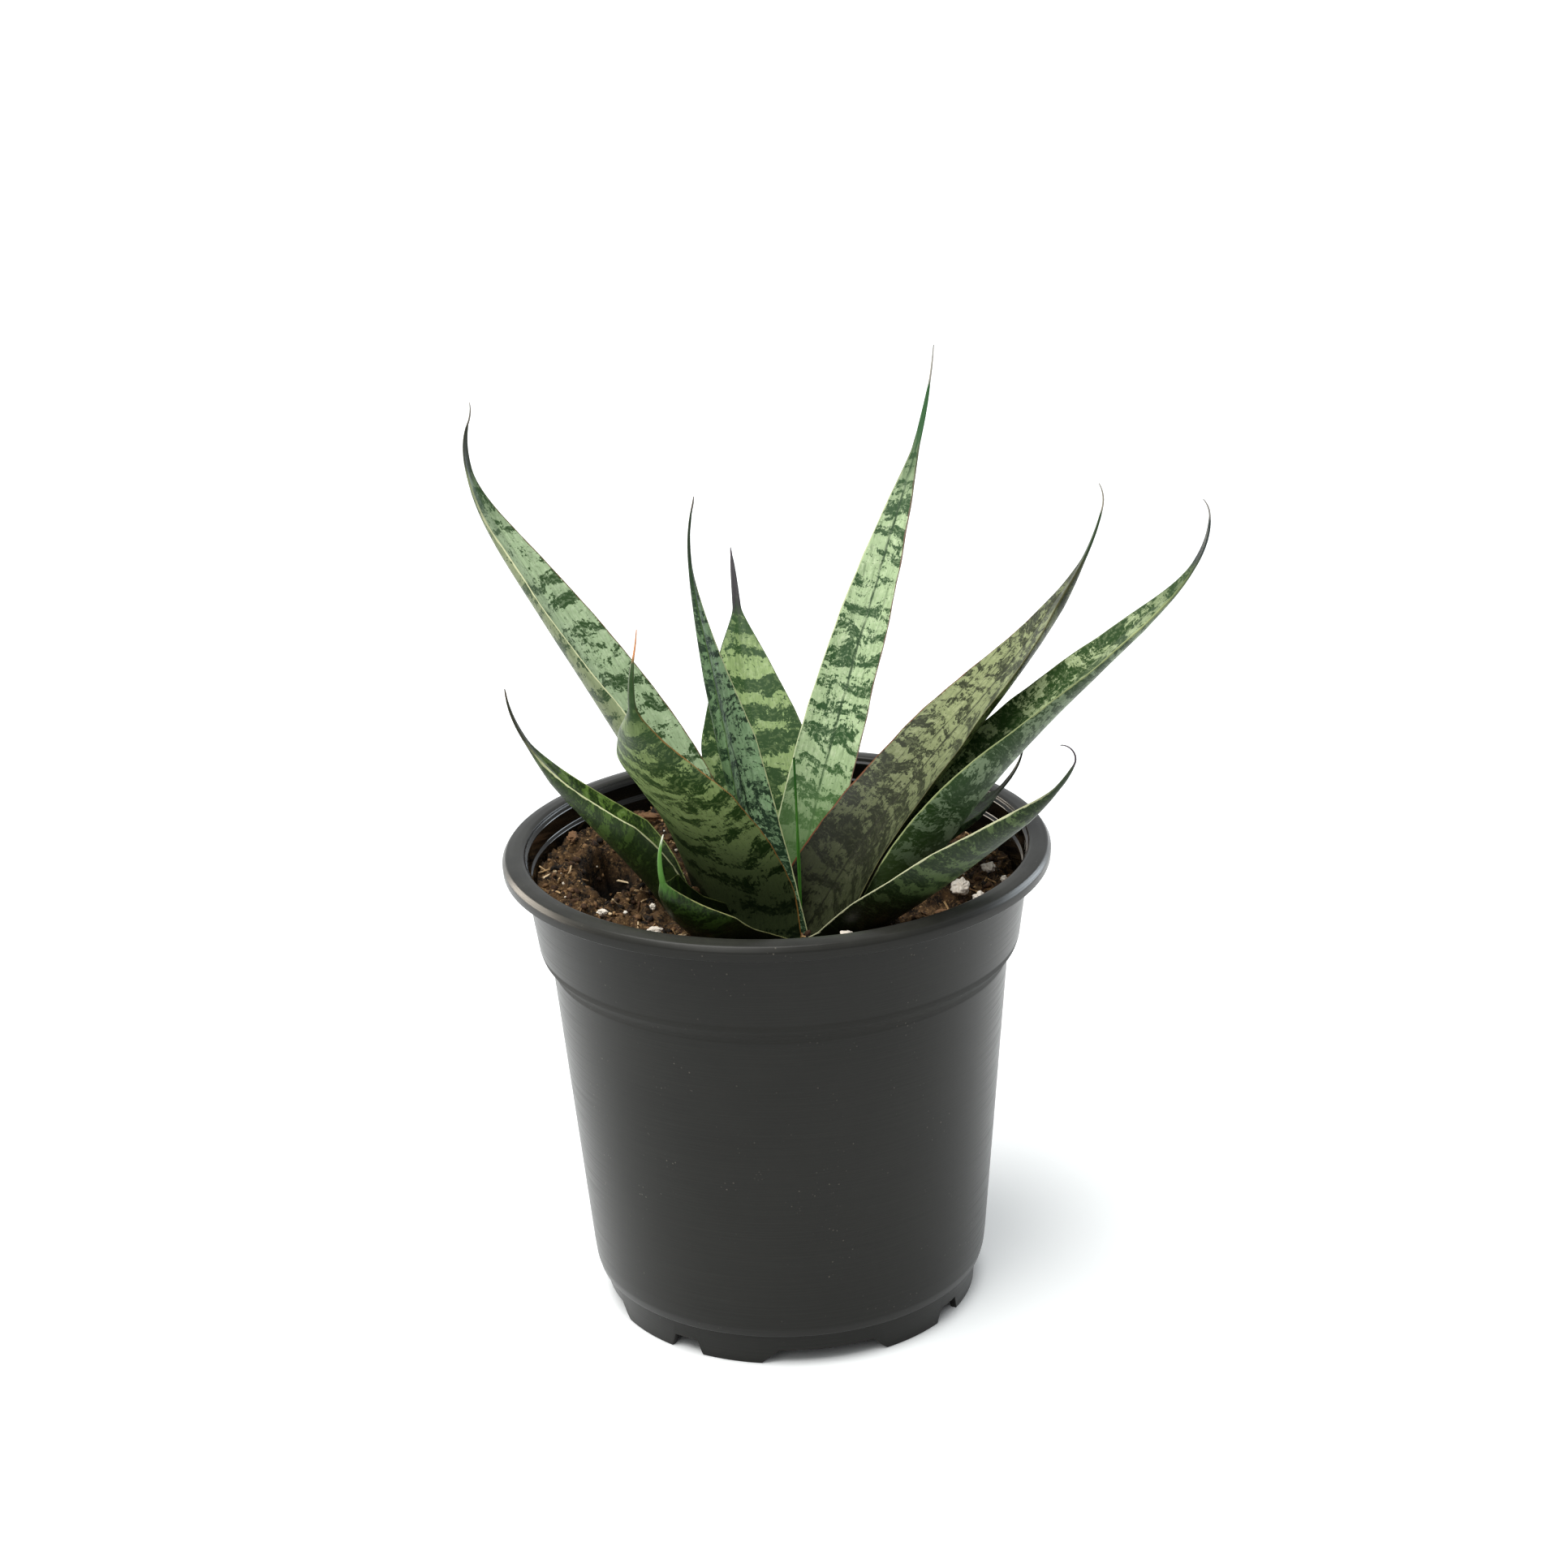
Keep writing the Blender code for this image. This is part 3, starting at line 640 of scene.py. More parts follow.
def build_leaf(leaf, material, seed):
    """A leaf: a flat grid rolled into a closed, channelled blade with thin margins."""
    deselect()
    bpy.ops.mesh.primitive_grid_add(
        x_subdivisions=LEAF_AROUND, y_subdivisions=LEAF_ALONG, size=1, calc_uvs=True, location=(0, 0, 0)
    )
    blade = bpy.context.object
    blade.name = leaf.name + "_blade"
    mesh = blade.data
    rows = leaf_rows(leaf, LEAF_ALONG)
    inner = mesh.attributes.new("inner", "FLOAT", "POINT")
    edge = mesh.attributes.new("edge", "FLOAT", "POINT")
    lay_of = []
    for vert in mesh.vertices:
        turn = (vert.co.x + 0.5) * 2
        row = round((vert.co.y + 0.5) * LEAF_ALONG)
        length, point, side, inward = rows[row]
        s = max(0, min(1, length / leaf.length))
        width = half_width_along(leaf, length)
        blade_share = min(1, width / FULL_HALF_WIDTH)
        width *= 1 + MARGIN_WOBBLE * blade_share * noise.noise(Vector((length / 4.0, seed, 0)))
        face = 1 if turn <= 1 else -1
        u = math.cos(math.pi * turn)
        if u < 0:
            width += LAPS.get(leaf.name, 0) * max(0, 1 - s / LAP_REACH) ** 2 * -u
        u = math.copysign(1 - (1 - abs(u)) ** MARGIN_CROWDING, u) if abs(u) < 1 else u
        curl = math.radians(between(leaf.curl, s))
        bend = curl * u
        ripple = noise.noise(Vector((length / 9.0, seed * 3.1 + u, 1.7)))
        ripple *= RIPPLE * blade_share * u * abs(u)
        crease = -CREASE_DEPTH * blade_share * math.exp(-((u * width / CREASE_HALF_WIDTH) ** 2))
        middle = point + side * width * math.sin(bend) / curl + inward * (width * (1 - math.cos(bend)) / curl)
        outward = inward * math.cos(bend) - side * math.sin(bend)
        body = LEAF_HALF_THICKNESS * blade_share * (1 - u * u)
        thin = min(MARGIN_HALF_THICKNESS, width)
        lift = face * (thin * math.sqrt(max(0, 1 - u ** 8)) + body) + ripple + (crease if face > 0 else 0)
        vert.co = AXIS + (middle + outward * lift) * MM
        inner.data[vert.index].value = 1 if turn < 0.999 and turn > 0.001 else 0
        edge.data[vert.index].value = width * (1 - abs(u)) if length < leaf.length else width
        lay_of.append((u * width / LAY_SCALE, length / LAY_SCALE))
    layer = mesh.uv_layers[0]
    layer.name = "lay"
    for loop in mesh.loops:
        layer.data[loop.index].uv = lay_of[loop.vertex_index]
    bpy.ops.object.mode_set(mode="EDIT")
    bpy.ops.mesh.select_all(action="SELECT")
    bpy.ops.mesh.remove_doubles(threshold=1e-7)
    bpy.ops.mesh.select_all(action="DESELECT")
    bpy.ops.mesh.select_mode(type="EDGE")
    bpy.ops.mesh.select_non_manifold()
    bpy.ops.mesh.fill_holes(sides=0)
    bpy.ops.mesh.select_all(action="SELECT")
    bpy.ops.mesh.normals_make_consistent(inside=False)
    bpy.ops.object.mode_set(mode="OBJECT")
    mesh.shade_smooth()
    hand_over(blade, material, "leaf", leaf.name)


def build_leaves():
    bands = make_bands_group()
    skin = make_skin_group()
    for k, leaf in enumerate(LEAVES):
        material = make_leaf_material(leaf, LOOKS[leaf.name], bands, skin, k + 1)
        build_leaf(leaf, material, k + 1)


# ---- pot ----


def outer_wall():
    """The pot's outside (radius, height), from the mouth's edge over the rim and down to the foot."""
    top = POT_HEIGHT
    return [
        (MOUTH_RADIUS, top - 0.9),
        (MOUTH_RADIUS + 0.1, top - 0.3),
        (MOUTH_RADIUS + 0.7, top),
        (RIM_RADIUS - 2.2, top),
        (RIM_RADIUS - 0.7, top - 0.25),
        (RIM_RADIUS, top - 1.3),
        (RIM_RADIUS - 0.1, top - SKIRT_DEPTH),
        (RIM_RADIUS - 1.1, top - SKIRT_DEPTH),
        (RIM_RADIUS - 1.4, top - WALL - 0.3),
        (MOUTH_RADIUS + 1.2, top - WALL),
        (MOUTH_RADIUS + 0.3, top - SKIRT_DEPTH),
        (BAND_FOOT_RADIUS, BAND_FOOT_HEIGHT),
        (BAND_FOOT_RADIUS - 0.4, BAND_FOOT_HEIGHT - 1.2),
        (BODY_TOP_RADIUS + 0.5, BODY_TOP_HEIGHT + 1.2),
        (BODY_TOP_RADIUS, BODY_TOP_HEIGHT),
        (BODY_FOOT_RADIUS, BODY_FOOT_HEIGHT),
        (BODY_FOOT_RADIUS - 0.3, HEEL_HEIGHT + 1.8),
        (HEEL_RADIUS, HEEL_HEIGHT),
        (FOOT_RADIUS + 0.4, HEEL_HEIGHT - 0.4),
        (FOOT_RADIUS, 0),
    ]


def inner_wall():
    """The pot's inside (radius, height), from the floor up to just under the mouth, with its small ledge."""
    floor = FLOOR_UNDERSIDE + WALL
    return [
        (BODY_FOOT_RADIUS - WALL - 1.5, floor),
        (BODY_FOOT_RADIUS - WALL - 0.4, floor + 1.2),
        (BODY_FOOT_RADIUS - WALL + 0.1, BODY_FOOT_HEIGHT + 1),
        (BODY_TOP_RADIUS - WALL, BODY_TOP_HEIGHT),
        (BODY_TOP_RADIUS - WALL + 0.5, BODY_TOP_HEIGHT + 1.4),
        (BAND_FOOT_RADIUS - WALL - 0.4, BAND_FOOT_HEIGHT - 0.8),
        (BAND_FOOT_RADIUS - WALL, BAND_FOOT_HEIGHT + 0.4),
        (MOUTH_RADIUS - 1.5, POT_HEIGHT - 4.9),
        (MOUTH_RADIUS - 0.9, POT_HEIGHT - 4.4),
        (MOUTH_RADIUS - 0.6, POT_HEIGHT - 1.4),
    ]


def underside():
    inside = FOOT_RADIUS - WALL
    return [
        (inside, 0),
        (inside, FLOOR_UNDERSIDE - 0.4),
        (inside - 0.6, FLOOR_UNDERSIDE),
        (CENTRE_HOLE_RADIUS, FLOOR_UNDERSIDE),
        (CENTRE_HOLE_RADIUS, FLOOR_UNDERSIDE + WALL),
    ]


def rounded(outline, radius, steps=3):
    """A closed outline with each corner cut by a short curve."""
    points = []
    count = len(outline)
    for k, corner in enumerate(outline):
        here = Vector(corner)
        before = Vector(outline[k - 1]) - here
        after = Vector(outline[(k + 1) % count]) - here
        cut = min(radius, before.length * 0.4, after.length * 0.4)
        start = here + before.normalized() * cut
        end = here + after.normalized() * cut
        for step in range(steps + 1):
            t = step / steps
            points.append(start * (1 - t) ** 2 + here * 2 * t * (1 - t) + end * t * t)
    return points


def turned(name, outline, segments):
    """Turns a closed (radius, height) outline: one ring, extruded and resized point by point."""
    deselect()
    radius, height = outline[0]
    centre = (AXIS.x, AXIS.y)
    bpy.ops.mesh.primitive_circle_add(
        vertices=segments, radius=radius * MM, location=(*centre, height * MM), calc_uvs=False
    )
    piece = bpy.context.object
    piece.name = name
    bpy.ops.object.mode_set(mode="EDIT")
    bpy.ops.mesh.select_mode(type="EDGE")
    bpy.ops.mesh.select_all(action="SELECT")
    for next_radius, next_height in outline[1:]:
        rise = (next_height - height) * MM
        bpy.ops.mesh.extrude_region_move(TRANSFORM_OT_translate={"value": (0, 0, rise)})
        growth = next_radius / radius
        bpy.ops.transform.resize(value=(growth, growth, 1), center_override=(*centre, next_height * MM))
        radius, height = next_radius, next_height
    bpy.ops.mesh.select_all(action="DESELECT")
    bpy.ops.mesh.select_non_manifold()
    bpy.ops.mesh.bridge_edge_loops()
    bpy.ops.mesh.select_all(action="SELECT")
    bpy.ops.mesh.normals_make_consistent(inside=False)
    bpy.ops.object.mode_set(mode="OBJECT")
    apply_place(piece)
    return piece


def cut_away(piece, cutter):
    cut = piece.modifiers.new("cut", "BOOLEAN")
    cut.operation = "DIFFERENCE"
    cut.solver = "EXACT"
    cut.object = cutter
    apply_modifiers(piece)
    bpy.data.objects.remove(cutter, do_unlink=True)


def notch_cutter(notch, angle):
    """A block through the foot ring, wide at the ground and narrower at its top."""
    deselect()
    bpy.ops.mesh.primitive_cube_add(size=1, location=(0, 0, 0))
    cutter = bpy.context.object
    for vert in cutter.data.vertices:
        high = vert.co.z > 0
        half_angle = notch.half_angle_high if high else notch.half_angle_low
        around = math.radians(angle + math.copysign(half_angle, vert.co.y))
        radius = FOOT_RADIUS + math.copysign(NOTCH_REACH, vert.co.x)
        height = NOTCH_HEIGHT if high else -1
        vert.co = AXIS + Vector((radius * math.cos(around), radius * math.sin(around), height)) * MM
    return cutter


def drain_cutter(angle):
    deselect()
    around = math.radians(angle)
    ahead = Vector((math.cos(around), math.sin(around), 0))
    place = ahead * DRAIN_CIRCLE_RADIUS + Vector((0, 0, FLOOR_UNDERSIDE))
    bpy.ops.mesh.primitive_cylinder_add(
        vertices=32, radius=DRAIN_HOLE_RADIUS * MM, depth=4 * WALL * MM, location=AXIS + place * MM
    )
    return bpy.context.object


def make_scuffs_group():
    """Fine level scratches and dust: lines that run round the pot, and scattered specks."""
    board, _, made = new_group("scuffs", {}, ("Scratches", "Dust", "Cloud"))
    place = board.add("TexCoord", {}).outputs["Object"]
    parts = board.add("SeparateXYZ", {"Vector": place}).outputs
    side_x = board.times(parts["X"], SCRATCHES_ROUND)
    side_y = board.times(parts["Y"], SCRATCHES_ROUND)
    level = board.times(parts["Z"], SCRATCHES_UP)
    lines = board.noise(board.point(side_x, side_y, level), 1.0, 2.0, 0.7)
    board.join(made["Scratches"], board.ramp(lines, 0.35, 0.75))
    specks = board.add("TexVoronoi", {"Vector": place, "Scale": 900.0}).outputs["Distance"]
    patches = board.noise(place, 160.0, 3.0, 0.6)
    dust = board.times(board.ramp(specks, 0.08, 0.2, 1.0, 0.0), board.ramp(patches, 0.55, 0.7))
    board.join(made["Dust"], dust)
    board.join(made["Cloud"], board.ramp(board.noise(place, 38.0, 5.0, 0.6), 0.3, 0.7))
    return board.tree


def make_pot_material():
    material, board, shader = new_material("pot_plastic_finish")
    scuffs = board.add("Group", {}, node_tree=make_scuffs_group())
    place = board.add("TexCoord", {}).outputs["Object"]
    height = board.add("SeparateXYZ", {"Vector": place}).outputs["Z"]
    colour = board.mix(scuffs.outputs["Cloud"], linear(POT_BLACKS[0]), linear(POT_BLACKS[1]))
    colour = board.mix(board.times(scuffs.outputs["Scratches"], 0.1), colour, linear(SCRATCH_GREY))
    top = board.ramp(height, (POT_HEIGHT - 1.4) * MM, (POT_HEIGHT - 0.2) * MM)
    top = board.times(top, board.plus(board.times(scuffs.outputs["Cloud"], 0.2), 0.05))
    colour = board.mix(top, colour, linear(WORN_GREY))
    colour = board.mix(board.times(scuffs.outputs["Dust"], 0.3), colour, linear(DUST_GREY))
    # painted shade: the inner wall above the mix is darkened towards a near black
    from_axis = board.add("VectorMath", {0: place, 1: tuple(AXIS)}, operation="SUBTRACT").outputs[0]
    from_axis = board.add("VectorMath", {0: from_axis, 1: (1, 1, 0)}, operation="MULTIPLY").outputs[0]
    radius = board.add("VectorMath", {0: from_axis}, operation="LENGTH").outputs["Value"]
    level = board.calc("DIVIDE", height, MM)
    wall = board.times(board.minus(level, BAND_FOOT_HEIGHT), BAND_TAPER)
    wall = board.plus(wall, BAND_FOOT_RADIUS - WALL / 2)
    inside = board.minus(board.calc("DIVIDE", radius, MM), wall)
    inside = board.times(board.ramp(inside, -0.2, 0.2, 1.0, 0.0), board.ramp(level, 77.0, 79.0))
    colour = board.mix(board.times(inside, 0.8), colour, linear(INSIDE_PAINTED_SHADE))
    board.join(shader.inputs["Base Color"], colour)
    gloss = board.ramp(scuffs.outputs["Scratches"], 0.0, 1.0, 0.29, 0.38)
    gloss = board.times(gloss, board.ramp(inside, 0.0, 1.0, 1.0, 0.35))
    # the moulded step under the band is duller than the walls
    step = board.calc("ABSOLUTE", board.minus(level, (BAND_FOOT_HEIGHT + BODY_TOP_HEIGHT) / 2))
    dull = board.ramp(step, 1.9, 3.0, 1.0, 0.0)
    board.join(shader.inputs["Roughness"], board.calc("MAXIMUM", gloss, board.times(dull, 0.62)))
    shader.inputs["Specular IOR Level"].default_value = 0.2
    board.join(shader.inputs["Normal"], board.bump(scuffs.outputs["Scratches"], 0.05, 0.00006))
    return material


def build_pot():
    outline = [tuple(point) for point in rounded(outer_wall() + underside() + inner_wall(), CORNER_RADIUS)]
    pot = turned("nursery_pot_shell", outline, POT_SEGMENTS)
    for k in range(QUARTERS):
        turn = k * 360 / QUARTERS
        for notch in (WIDE_NOTCH, NARROW_NOTCH):
            cut_away(pot, notch_cutter(notch, notch.first_angle + turn))
        cut_away(pot, drain_cutter(WIDE_NOTCH.first_angle + turn))
    pick(pot)
    bpy.ops.object.shade_smooth_by_angle(angle=math.radians(32))
    hand_over(pot, make_pot_material(), "pot_plastic", "nursery_pot")


# ---- potting mix ----


def dip(hollow, x, y):
    """How far a hollow lowers the mix at a place. Its side is steep and its rim ragged."""
    rag = HOLLOW_RAG * noise.noise(Vector((x / 3.2, y / 3.2, 9.4)))
    off_x = (x - hollow.centre[0]) / hollow.radii[0]
    off_y = (y - hollow.centre[1]) / hollow.radii[1]
    inside = max(0, min(1, (HOLLOW_START - math.hypot(off_x, off_y) - rag) / HOLLOW_SIDE))
    return hollow.depth * inside * inside * (3 - 2 * inside)


def soil_height(x, y):
    """The height of the mix's top before its finest crumbs."""
    rough = noise.noise(Vector((x / 11, y / 11, 0.3))) + 0.5 * noise.noise(Vector((x / 5, y / 5, 4.1)))
    return SOIL_LEVEL - SOIL_SLOPE * x + SOIL_ROUGHNESS * rough - dip(PIT, x, y) - dip(CROWN, x, y)


def crumbly_height(x, y):
    lumps = noise.turbulence(Vector((x / 2.6, y / 2.6, 7.7)), 3, False)
    grit = noise.noise(Vector((x / 0.9, y / 0.9, 2.2)))
    return soil_height(x, y) + LUMP_RISE * (lumps - 0.45) + GRIT_RISE * grit - 0.2


def wall_radius_at(height):
    profile = inner_wall()
    for (r0, z0), (r1, z1) in zip(profile, profile[1:]):
        if z0 <= height <= z1:
            return r0 + (r1 - r0) * (height - z0) / (z1 - z0)
    return profile[0][0]


def build_soil(material):
    """The mix: a fine grid cut round, raised into crumbs, and drawn down inside the pot to its floor."""
    deselect()
    edge = wall_radius_at(SOIL_LEVEL) - 0.4
    cells = round(2 * edge / SOIL_CELL)
    bpy.ops.mesh.primitive_grid_add(
        x_subdivisions=cells, y_subdivisions=cells, size=2 * edge * MM, location=AXIS, calc_uvs=False
    )
    soil = bpy.context.object
    soil.name = "potting_mix_body"
    apply_place(soil)
    mesh = soil.data
    bm = bmesh.new()
    bm.from_mesh(mesh)
    outside = [v for v in bm.verts if (v.co - AXIS).xy.length > edge * MM + 1e-6]
    bmesh.ops.delete(bm, geom=outside, context="VERTS")
    for vert in bm.verts:
        if vert.is_boundary:
            flat = (vert.co - AXIS).xy.normalized() * edge * MM
            vert.co.x, vert.co.y = AXIS.x + flat.x, AXIS.y + flat.y
        x, y = (vert.co.x - AXIS.x) / MM, (vert.co.y - AXIS.y) / MM
        vert.co.z = crumbly_height(x, y) * MM
    border = [e for e in bm.edges if e.is_boundary]
    lowest = FLOOR_UNDERSIDE + WALL + SOIL_GAP
    for radius, height in [(r - SOIL_GAP, z) for r, z in inner_wall()[6::-1]]:
        grown = bmesh.ops.extrude_edge_only(bm, edges=border)["geom"]
        border = [e for e in grown if isinstance(e, bmesh.types.BMEdge) and e.is_boundary]
        for vert in {v for e in border for v in e.verts}:
            flat = (vert.co - AXIS).xy.normalized() * radius * MM
            vert.co = Vector((AXIS.x + flat.x, AXIS.y + flat.y, max(height, lowest) * MM))
    bmesh.ops.contextual_create(bm, geom=border)
    bmesh.ops.recalc_face_normals(bm, faces=bm.faces)
    bm.to_mesh(mesh)
    bm.free()
    mesh.shade_smooth()
    hand_over(soil, material, "potting_mix", "potting_mix")


def make_soil_material():
    material, board, shader = new_material("potting_mix_finish")
    place = board.add("TexCoord", {}).outputs["Object"]
    lumps = board.noise(place, 420.0, 5.0, 0.65)
    grit = board.noise(place, 1500.0, 4.0, 0.7)
    # painted shade: the gap colour darkens the mix where its lumps are low, the same lumps that make its bump
    colour = board.mix(board.ramp(lumps, 0.38, 0.62), linear(MIX_GAP_SHADE), linear(MIX_BROWN))
    colour = board.mix(board.ramp(grit, 0.5, 0.68, 0.0, 0.8), colour, linear(MIX_FIBRE))
    colour = board.mix(board.ramp(grit, 0.64, 0.74, 0.0, 0.8), colour, linear(MIX_GRIT))
    # painted shade: below its level the mix darkens to near black, in its hollows and down its sides
    depth = board.add("SeparateXYZ", {"Vector": place}).outputs["Z"]
    deep_shade = board.ramp(depth, (SOIL_LEVEL - 9) * MM, (SOIL_LEVEL - 1) * MM, 0.93, 0.0)
    colour = board.mix(deep_shade, colour, linear(MIX_DEEP_SHADE))
    board.join(shader.inputs["Base Color"], colour)
    shader.inputs["Roughness"].default_value = 0.92
    shader.inputs["Specular IOR Level"].default_value = 0.25
    height = board.plus(lumps, board.times(grit, 0.6))
    board.join(shader.inputs["Normal"], board.bump(height, 0.9, 0.0006))
    return material


def lump(name, detail, roughness, seed):
    """A small irregular grain: an ico sphere pushed in and out."""
    deselect()
    bpy.ops.mesh.primitive_ico_sphere_add(subdivisions=detail, radius=1, location=(0, 0, 0))
    grain = bpy.context.object
    grain.name = name
    for vert in grain.data.vertices:
        push = noise.noise(vert.co * 1.3 + Vector((seed, 0, 0)))
        push += 0.5 * noise.noise(vert.co * 3.1 + Vector((0, seed, 0)))
        vert.co *= 1 + roughness * push
    return grain


def stem_of(name, seed):
    """A short crooked fibre: a thin box with a bend in it."""
    deselect()
    bpy.ops.mesh.primitive_cube_add(size=2, location=(0, 0, 0))
    fibre = bpy.context.object
    fibre.name = name
    bpy.ops.object.mode_set(mode="EDIT")
    bpy.ops.mesh.select_all(action="SELECT")
    bpy.ops.mesh.subdivide(number_cuts=2)
    bpy.ops.object.mode_set(mode="OBJECT")
    for vert in fibre.data.vertices:
        bend = 0.35 * noise.noise(Vector((vert.co.x * 1.5, seed, 0)))
        vert.co.z += bend * 3
        vert.co *= 1 + 0.3 * noise.noise(vert.co * 2 + Vector((seed, 3, 0)))
    return fibre


def scatter(name, shapes, places, material, slot):
    """Lays many copies of a few small shapes, joined as one piece. Each place has its own matrix and tone."""
    mesh = bpy.data.meshes.new(name)
    bm = bmesh.new()
    tone_of = bm.verts.layers.float.new("tone")
    for index, (matrix, tone) in enumerate(places):
        before = len(bm.verts)
        bm.from_mesh(shapes[index % len(shapes)].data)
        bm.verts.ensure_lookup_table()
        for vert in bm.verts[before:]:
            vert.co = matrix @ vert.co
            vert[tone_of] = tone
    bm.to_mesh(mesh)
    bm.free()
    mesh.shade_smooth()
    piece = bpy.data.objects.new(name, mesh)
    bpy.context.scene.collection.objects.link(piece)
    hand_over(piece, material, slot)
    for shape in shapes:
        bpy.data.objects.remove(shape, do_unlink=True)
    return piece


def blocked_by_leaf(x, y):
    """True where a leaf stands on the mix, so nothing is strewn there."""
    for leaf in LEAVES:
        base = Vector(leaf.base)
        heading = math.radians(leaf.heading)
        ahead = Vector((math.cos(heading), math.sin(heading)))
        off = Vector((x, y)) - base
        forward = off.dot(ahead)
        sideways = abs(off.dot(Vector((-ahead.y, ahead.x))))
        if sideways < leaf.half_width * leaf.foot_ratio + 1 and -3 < forward < 6:
            return True
    return False


def strewn(count, sizes, flatness, lift, tones):
    """Places on the mix for loose bits: a matrix and a tone for each."""
    places = []
    reach = wall_radius_at(SOIL_LEVEL) - 1.5
    while len(places) < count:
        x, y = random.uniform(-reach, reach), random.uniform(-reach, reach)
        if math.hypot(x, y) > reach or blocked_by_leaf(x, y):
            continue
        size = random.uniform(*sizes) * random.uniform(0.6, 1)
        turn = Matrix.Rotation(random.uniform(0, math.tau), 4, "Z")
        turn = turn @ Matrix.Rotation(random.gauss(0, BIT_TILT), 4, "X")
        turn = turn @ Matrix.Rotation(random.gauss(0, BIT_TILT), 4, "Y")
        shape = Matrix.Diagonal((size * MM, size * flatness[0] * MM, size * flatness[1] * MM, 1))
        height = crumbly_height(x, y) + lift * size
        place = Matrix.Translation(AXIS + Vector((x, y, height)) * MM)
        places.append((place @ turn @ shape, random.uniform(*tones)))
    return places


def make_grit_group():
    """Fine grit on loose bits, and the tone of each bit with the grit in it."""
    board, given, made = new_group("grit", {"Tone": 0.5, "Strength": 0.5}, ("Grit", "Tone"))
    grit = board.noise(board.add("TexCoord", {}).outputs["Object"], 2200.0, 3.0, 0.6)
    stray = board.times(board.minus(grit, 0.5), given["Strength"])
    board.join(made["Grit"], grit)
    board.join(made["Tone"], board.plus(given["Tone"], stray))
    return board.tree


def make_crumb_material(name, colours, roughness):
    """Loose bits, each of its own tone, from the darkest to the palest of the given colours."""
    material, board, shader = new_material(name)
    grit = board.add("Group", {}, node_tree=bpy.data.node_groups.get("grit") or make_grit_group())
    board.join(grit.inputs["Tone"], board.attribute("tone"))
    tone = grit.outputs["Tone"]
    colour = linear(colours[0])
    for k, code in enumerate(colours[1:]):
        low = (k + 0.2) / (len(colours) - 1)
        high = (k + 1) / (len(colours) - 1)
        colour = board.mix(board.ramp(tone, low, high), colour, linear(code))
    board.join(shader.inputs["Base Color"], colour)
    shader.inputs["Roughness"].default_value = roughness
    shader.inputs["Specular IOR Level"].default_value = 0.3
    board.join(shader.inputs["Normal"], board.bump(grit.outputs["Grit"], 0.6, 0.0003))
    return material


def build_crumbs():
    """The loose bits: brown crumbs, thin fibres and small white bits."""
    brown = make_crumb_material("mix_crumbs_finish", CRUMB_BROWNS, 0.85)
    crumbs = [lump(f"crumb_{k}", 1, 0.5, 3.0 * k) for k in range(4)]
    places = strewn(CRUMBS, sizes=(0.35, 1.1), flatness=(0.8, 0.6), lift=0.1, tones=(0.0, 0.62))
    scatter("mix_crumbs", crumbs, places, brown, "potting_mix")
    fibres = [stem_of(f"fibre_{k}", 1.0 + k) for k in range(3)]
    places = strewn(FIBRES, sizes=(0.7, 2.0), flatness=(0.13, 0.1), lift=0.08, tones=(0.3, 0.95))
    scatter("mix_fibres", fibres, places, brown, "potting_mix")
    white = make_crumb_material("perlite_bits_finish", BIT_WHITES, 0.8)
    bits = [lump(f"bit_{k}", 2, 0.45, 40 + 2.0 * k) for k in range(3)]
    places = strewn(WHITE_BITS, sizes=(0.22, 0.55), flatness=(0.8, 0.8), lift=0.5, tones=(0.3, 1.0))
    scatter("perlite_bits", bits, places, white, "perlite")


def build_grain(node, material, slot, detail, roughness, seed):
    """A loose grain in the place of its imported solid, with a broken surface."""
    low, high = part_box(node)
    grain = lump(node + "_grain", detail, roughness, seed)
    for vert in grain.data.vertices:
        pits = noise.voronoi(vert.co * 2.2 + Vector((seed, seed, 0)))[0][0]
        vert.co *= 1 - 0.35 * max(0, 0.35 - pits)
    spreads = [[v.co[k] for v in grain.data.vertices] for k in range(3)]
    ends = [(min(spread), max(spread)) for spread in spreads]
    for vert in grain.data.vertices:
        shares = [(vert.co[k] - ends[k][0]) / (ends[k][1] - ends[k][0]) for k in range(3)]
        vert.co = Vector(low[k] + shares[k] * (high[k] - low[k]) for k in range(3))
        vert.co.z -= GRAIN_SINK * MM
    tone = grain.data.attributes.new("tone", "FLOAT", "POINT")
    for item in tone.data:
        item.value = GRAIN_TONE
    grain.data.shade_smooth()
    hand_over(grain, material, slot, node)


def build_grains():
    white = make_crumb_material("perlite_finish", PERLITE_WHITES, 0.85)
    brown = make_crumb_material("bark_finish", BARK_BROWNS, 0.8)
    for k in range(1, PERLITE_GRAINS + 1):
        build_grain(f"perlite_{k}", white, "perlite", 5, 0.45, 11.0 * k)
    for k in range(1, BARK_GRAINS + 1):
        build_grain(f"bark_{k}", brown, "bark", 4, 0.6, 200 + 9.0 * k)


# ---- stage ----


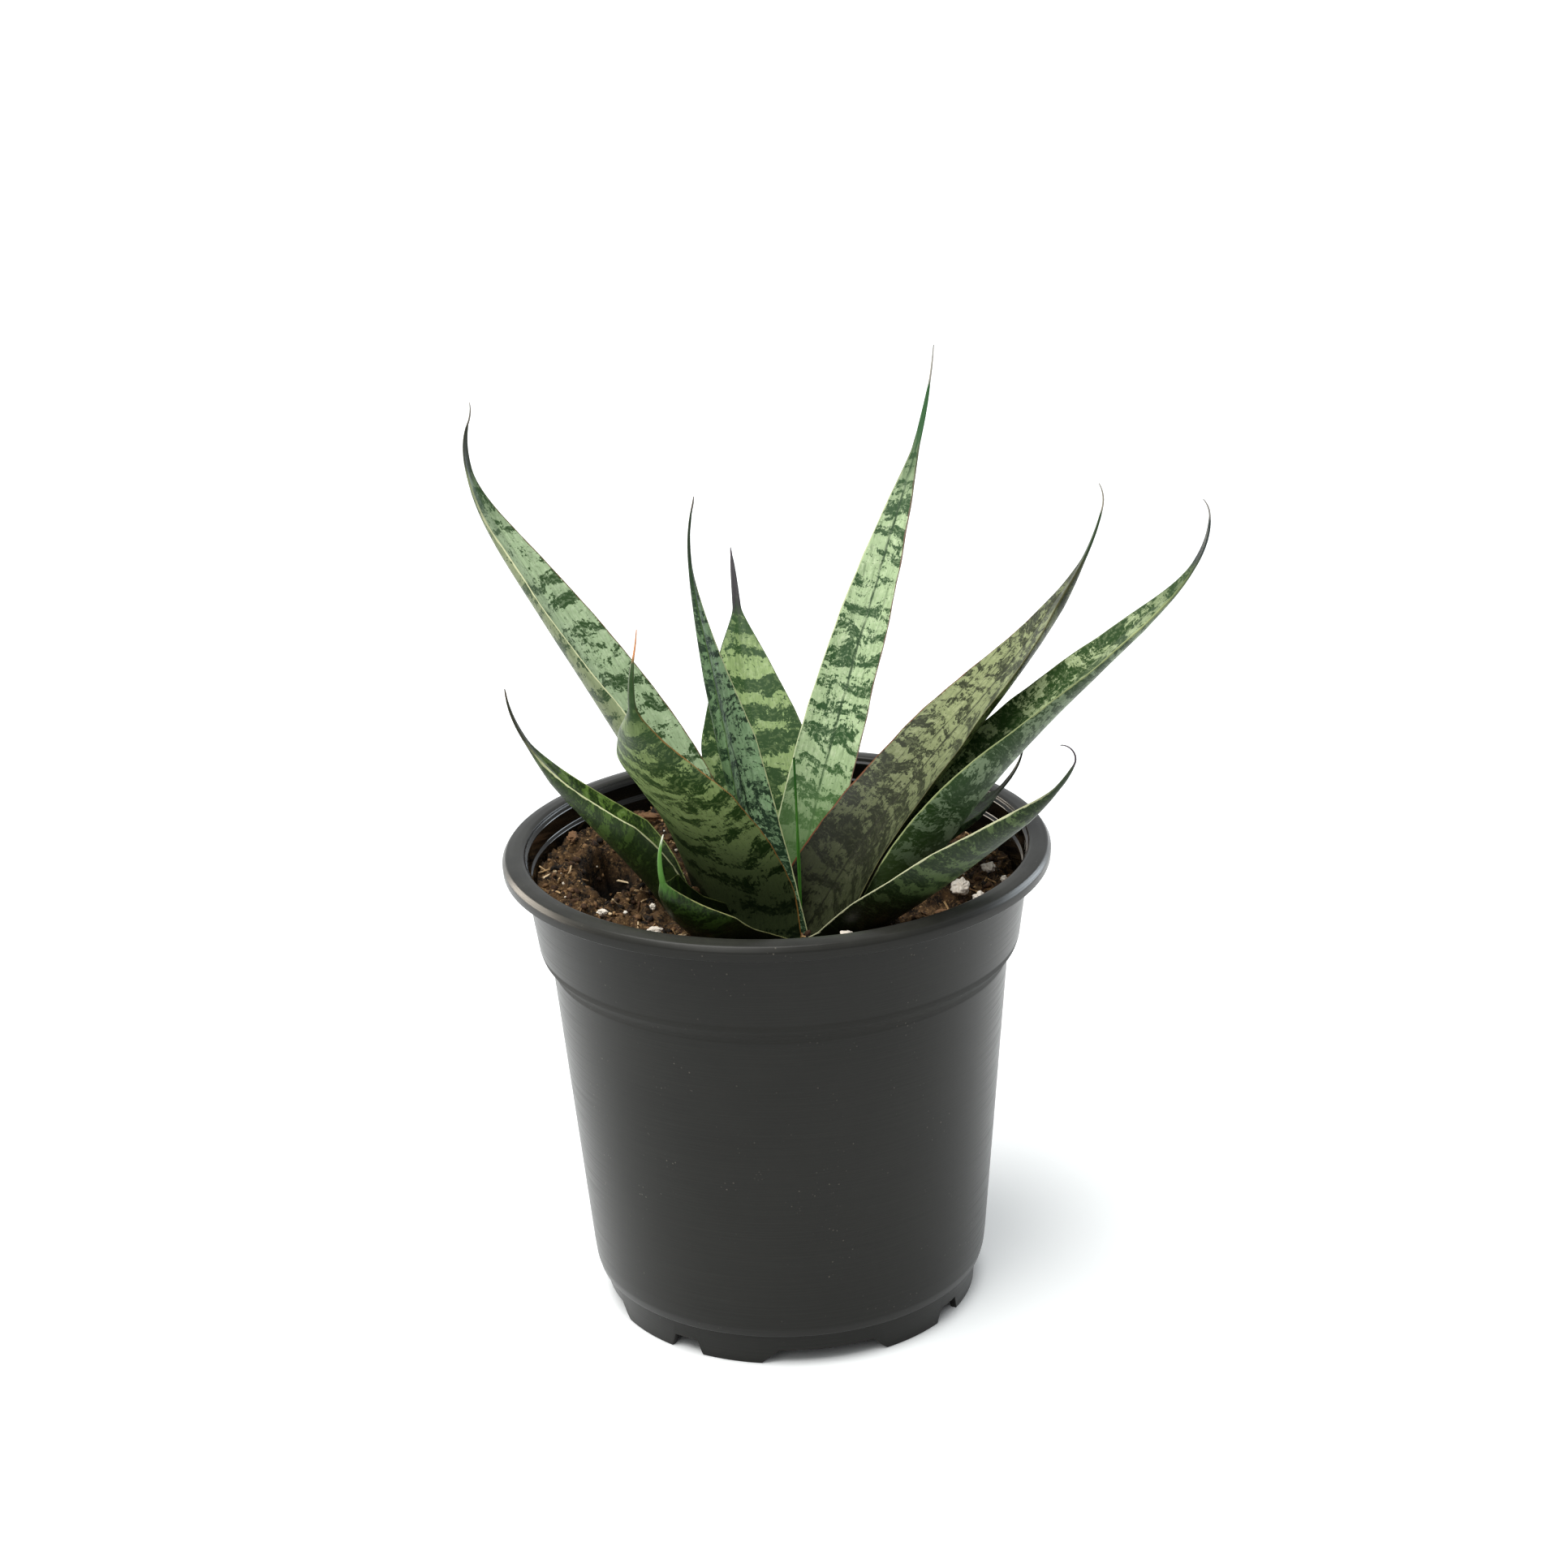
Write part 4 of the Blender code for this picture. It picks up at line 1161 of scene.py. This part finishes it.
def build_stage():
    deselect()
    bpy.ops.mesh.primitive_plane_add(size=30, location=(0, 8, 0))
    floor = bpy.context.object
    floor.name = "floor"
    material, board, shader = new_material("floor_white")
    rays = board.add("LightPath", {}).outputs
    seen = board.calc("MAXIMUM", rays["Is Camera Ray"], rays["Is Glossy Ray"])
    board.join(shader.inputs["Base Color"], board.mix(seen, FLOOR_BOUNCE, FLOOR_SEEN))
    shader.inputs["Roughness"].default_value = 0.8
    shader.inputs["Specular IOR Level"].default_value = 0.1
    shader.inputs["Emission Color"].default_value = GLOW_COLOUR
    place = board.add("NewGeometry", {}).outputs["Position"]
    from_pot = board.add("VectorMath", {0: place, 1: (AXIS.x, AXIS.y, 0)}, operation="SUBTRACT").outputs[0]
    from_pot = board.add("VectorMath", {0: from_pot}, operation="LENGTH").outputs["Value"]
    glow = board.ramp(from_pot, *GLOW_RADII, 0.0, FLOOR_GLOW)
    board.join(shader.inputs["Emission Strength"], board.times(seen, glow))
    floor.data.materials.append(material)

    world = bpy.data.worlds.new("studio")
    world.use_nodes = True
    board = Board(world.node_tree)
    back = world.node_tree.nodes["Background"]
    back.inputs["Color"].default_value = SKY_COLOUR
    rays = board.add("LightPath", {}).outputs
    strength = board.ramp(rays["Is Glossy Ray"], 0.0, 1.0, SKY_LIGHT, SKY_SHINE)
    strength = board.calc("MAXIMUM", strength, board.times(rays["Is Camera Ray"], SKY_SEEN))
    board.join(back.inputs["Strength"], strength)
    bpy.context.scene.world = world

    for name, place, kind, power, spread, colour in LIGHTS:
        data = bpy.data.lights.new(name, kind)
        data.energy = power
        data.color = colour
        if kind == "SUN":
            data.angle = math.radians(spread)
        else:
            data.shape = "DISK"
            data.size = spread
        lamp = bpy.data.objects.new(name, data)
        bpy.context.scene.collection.objects.link(lamp)
        lamp.visible_diffuse = not name.endswith("rim")
        lamp.location = AXIS + Vector(place)
        lamp.rotation_euler = (AXIS + LIGHTS_AIM - lamp.location).to_track_quat("-Z", "Y").to_euler()


def build_camera():
    data = bpy.data.cameras.new("camera")
    data.lens = CAMERA_LENS
    data.sensor_width = 36
    data.clip_start = 0.01
    data.clip_end = 30
    camera = bpy.data.objects.new("camera", data)
    bpy.context.scene.collection.objects.link(camera)
    camera.location = AXIS + CAMERA_PLACE
    turn = Matrix.Rotation(math.radians(CAMERA_YAW), 3, "Z")
    turn = turn @ Matrix.Rotation(math.radians(90 - CAMERA_DIP), 3, "X")
    turn = turn @ Matrix.Rotation(math.radians(CAMERA_ROLL), 3, "Z")
    camera.rotation_euler = turn.to_euler()
    bpy.context.scene.camera = camera
    bpy.context.scene.view_settings.view_transform = "Standard"


build_camera()
build_stage()
build_pot()
build_soil(make_soil_material())
build_crumbs()
build_grains()
build_leaves()
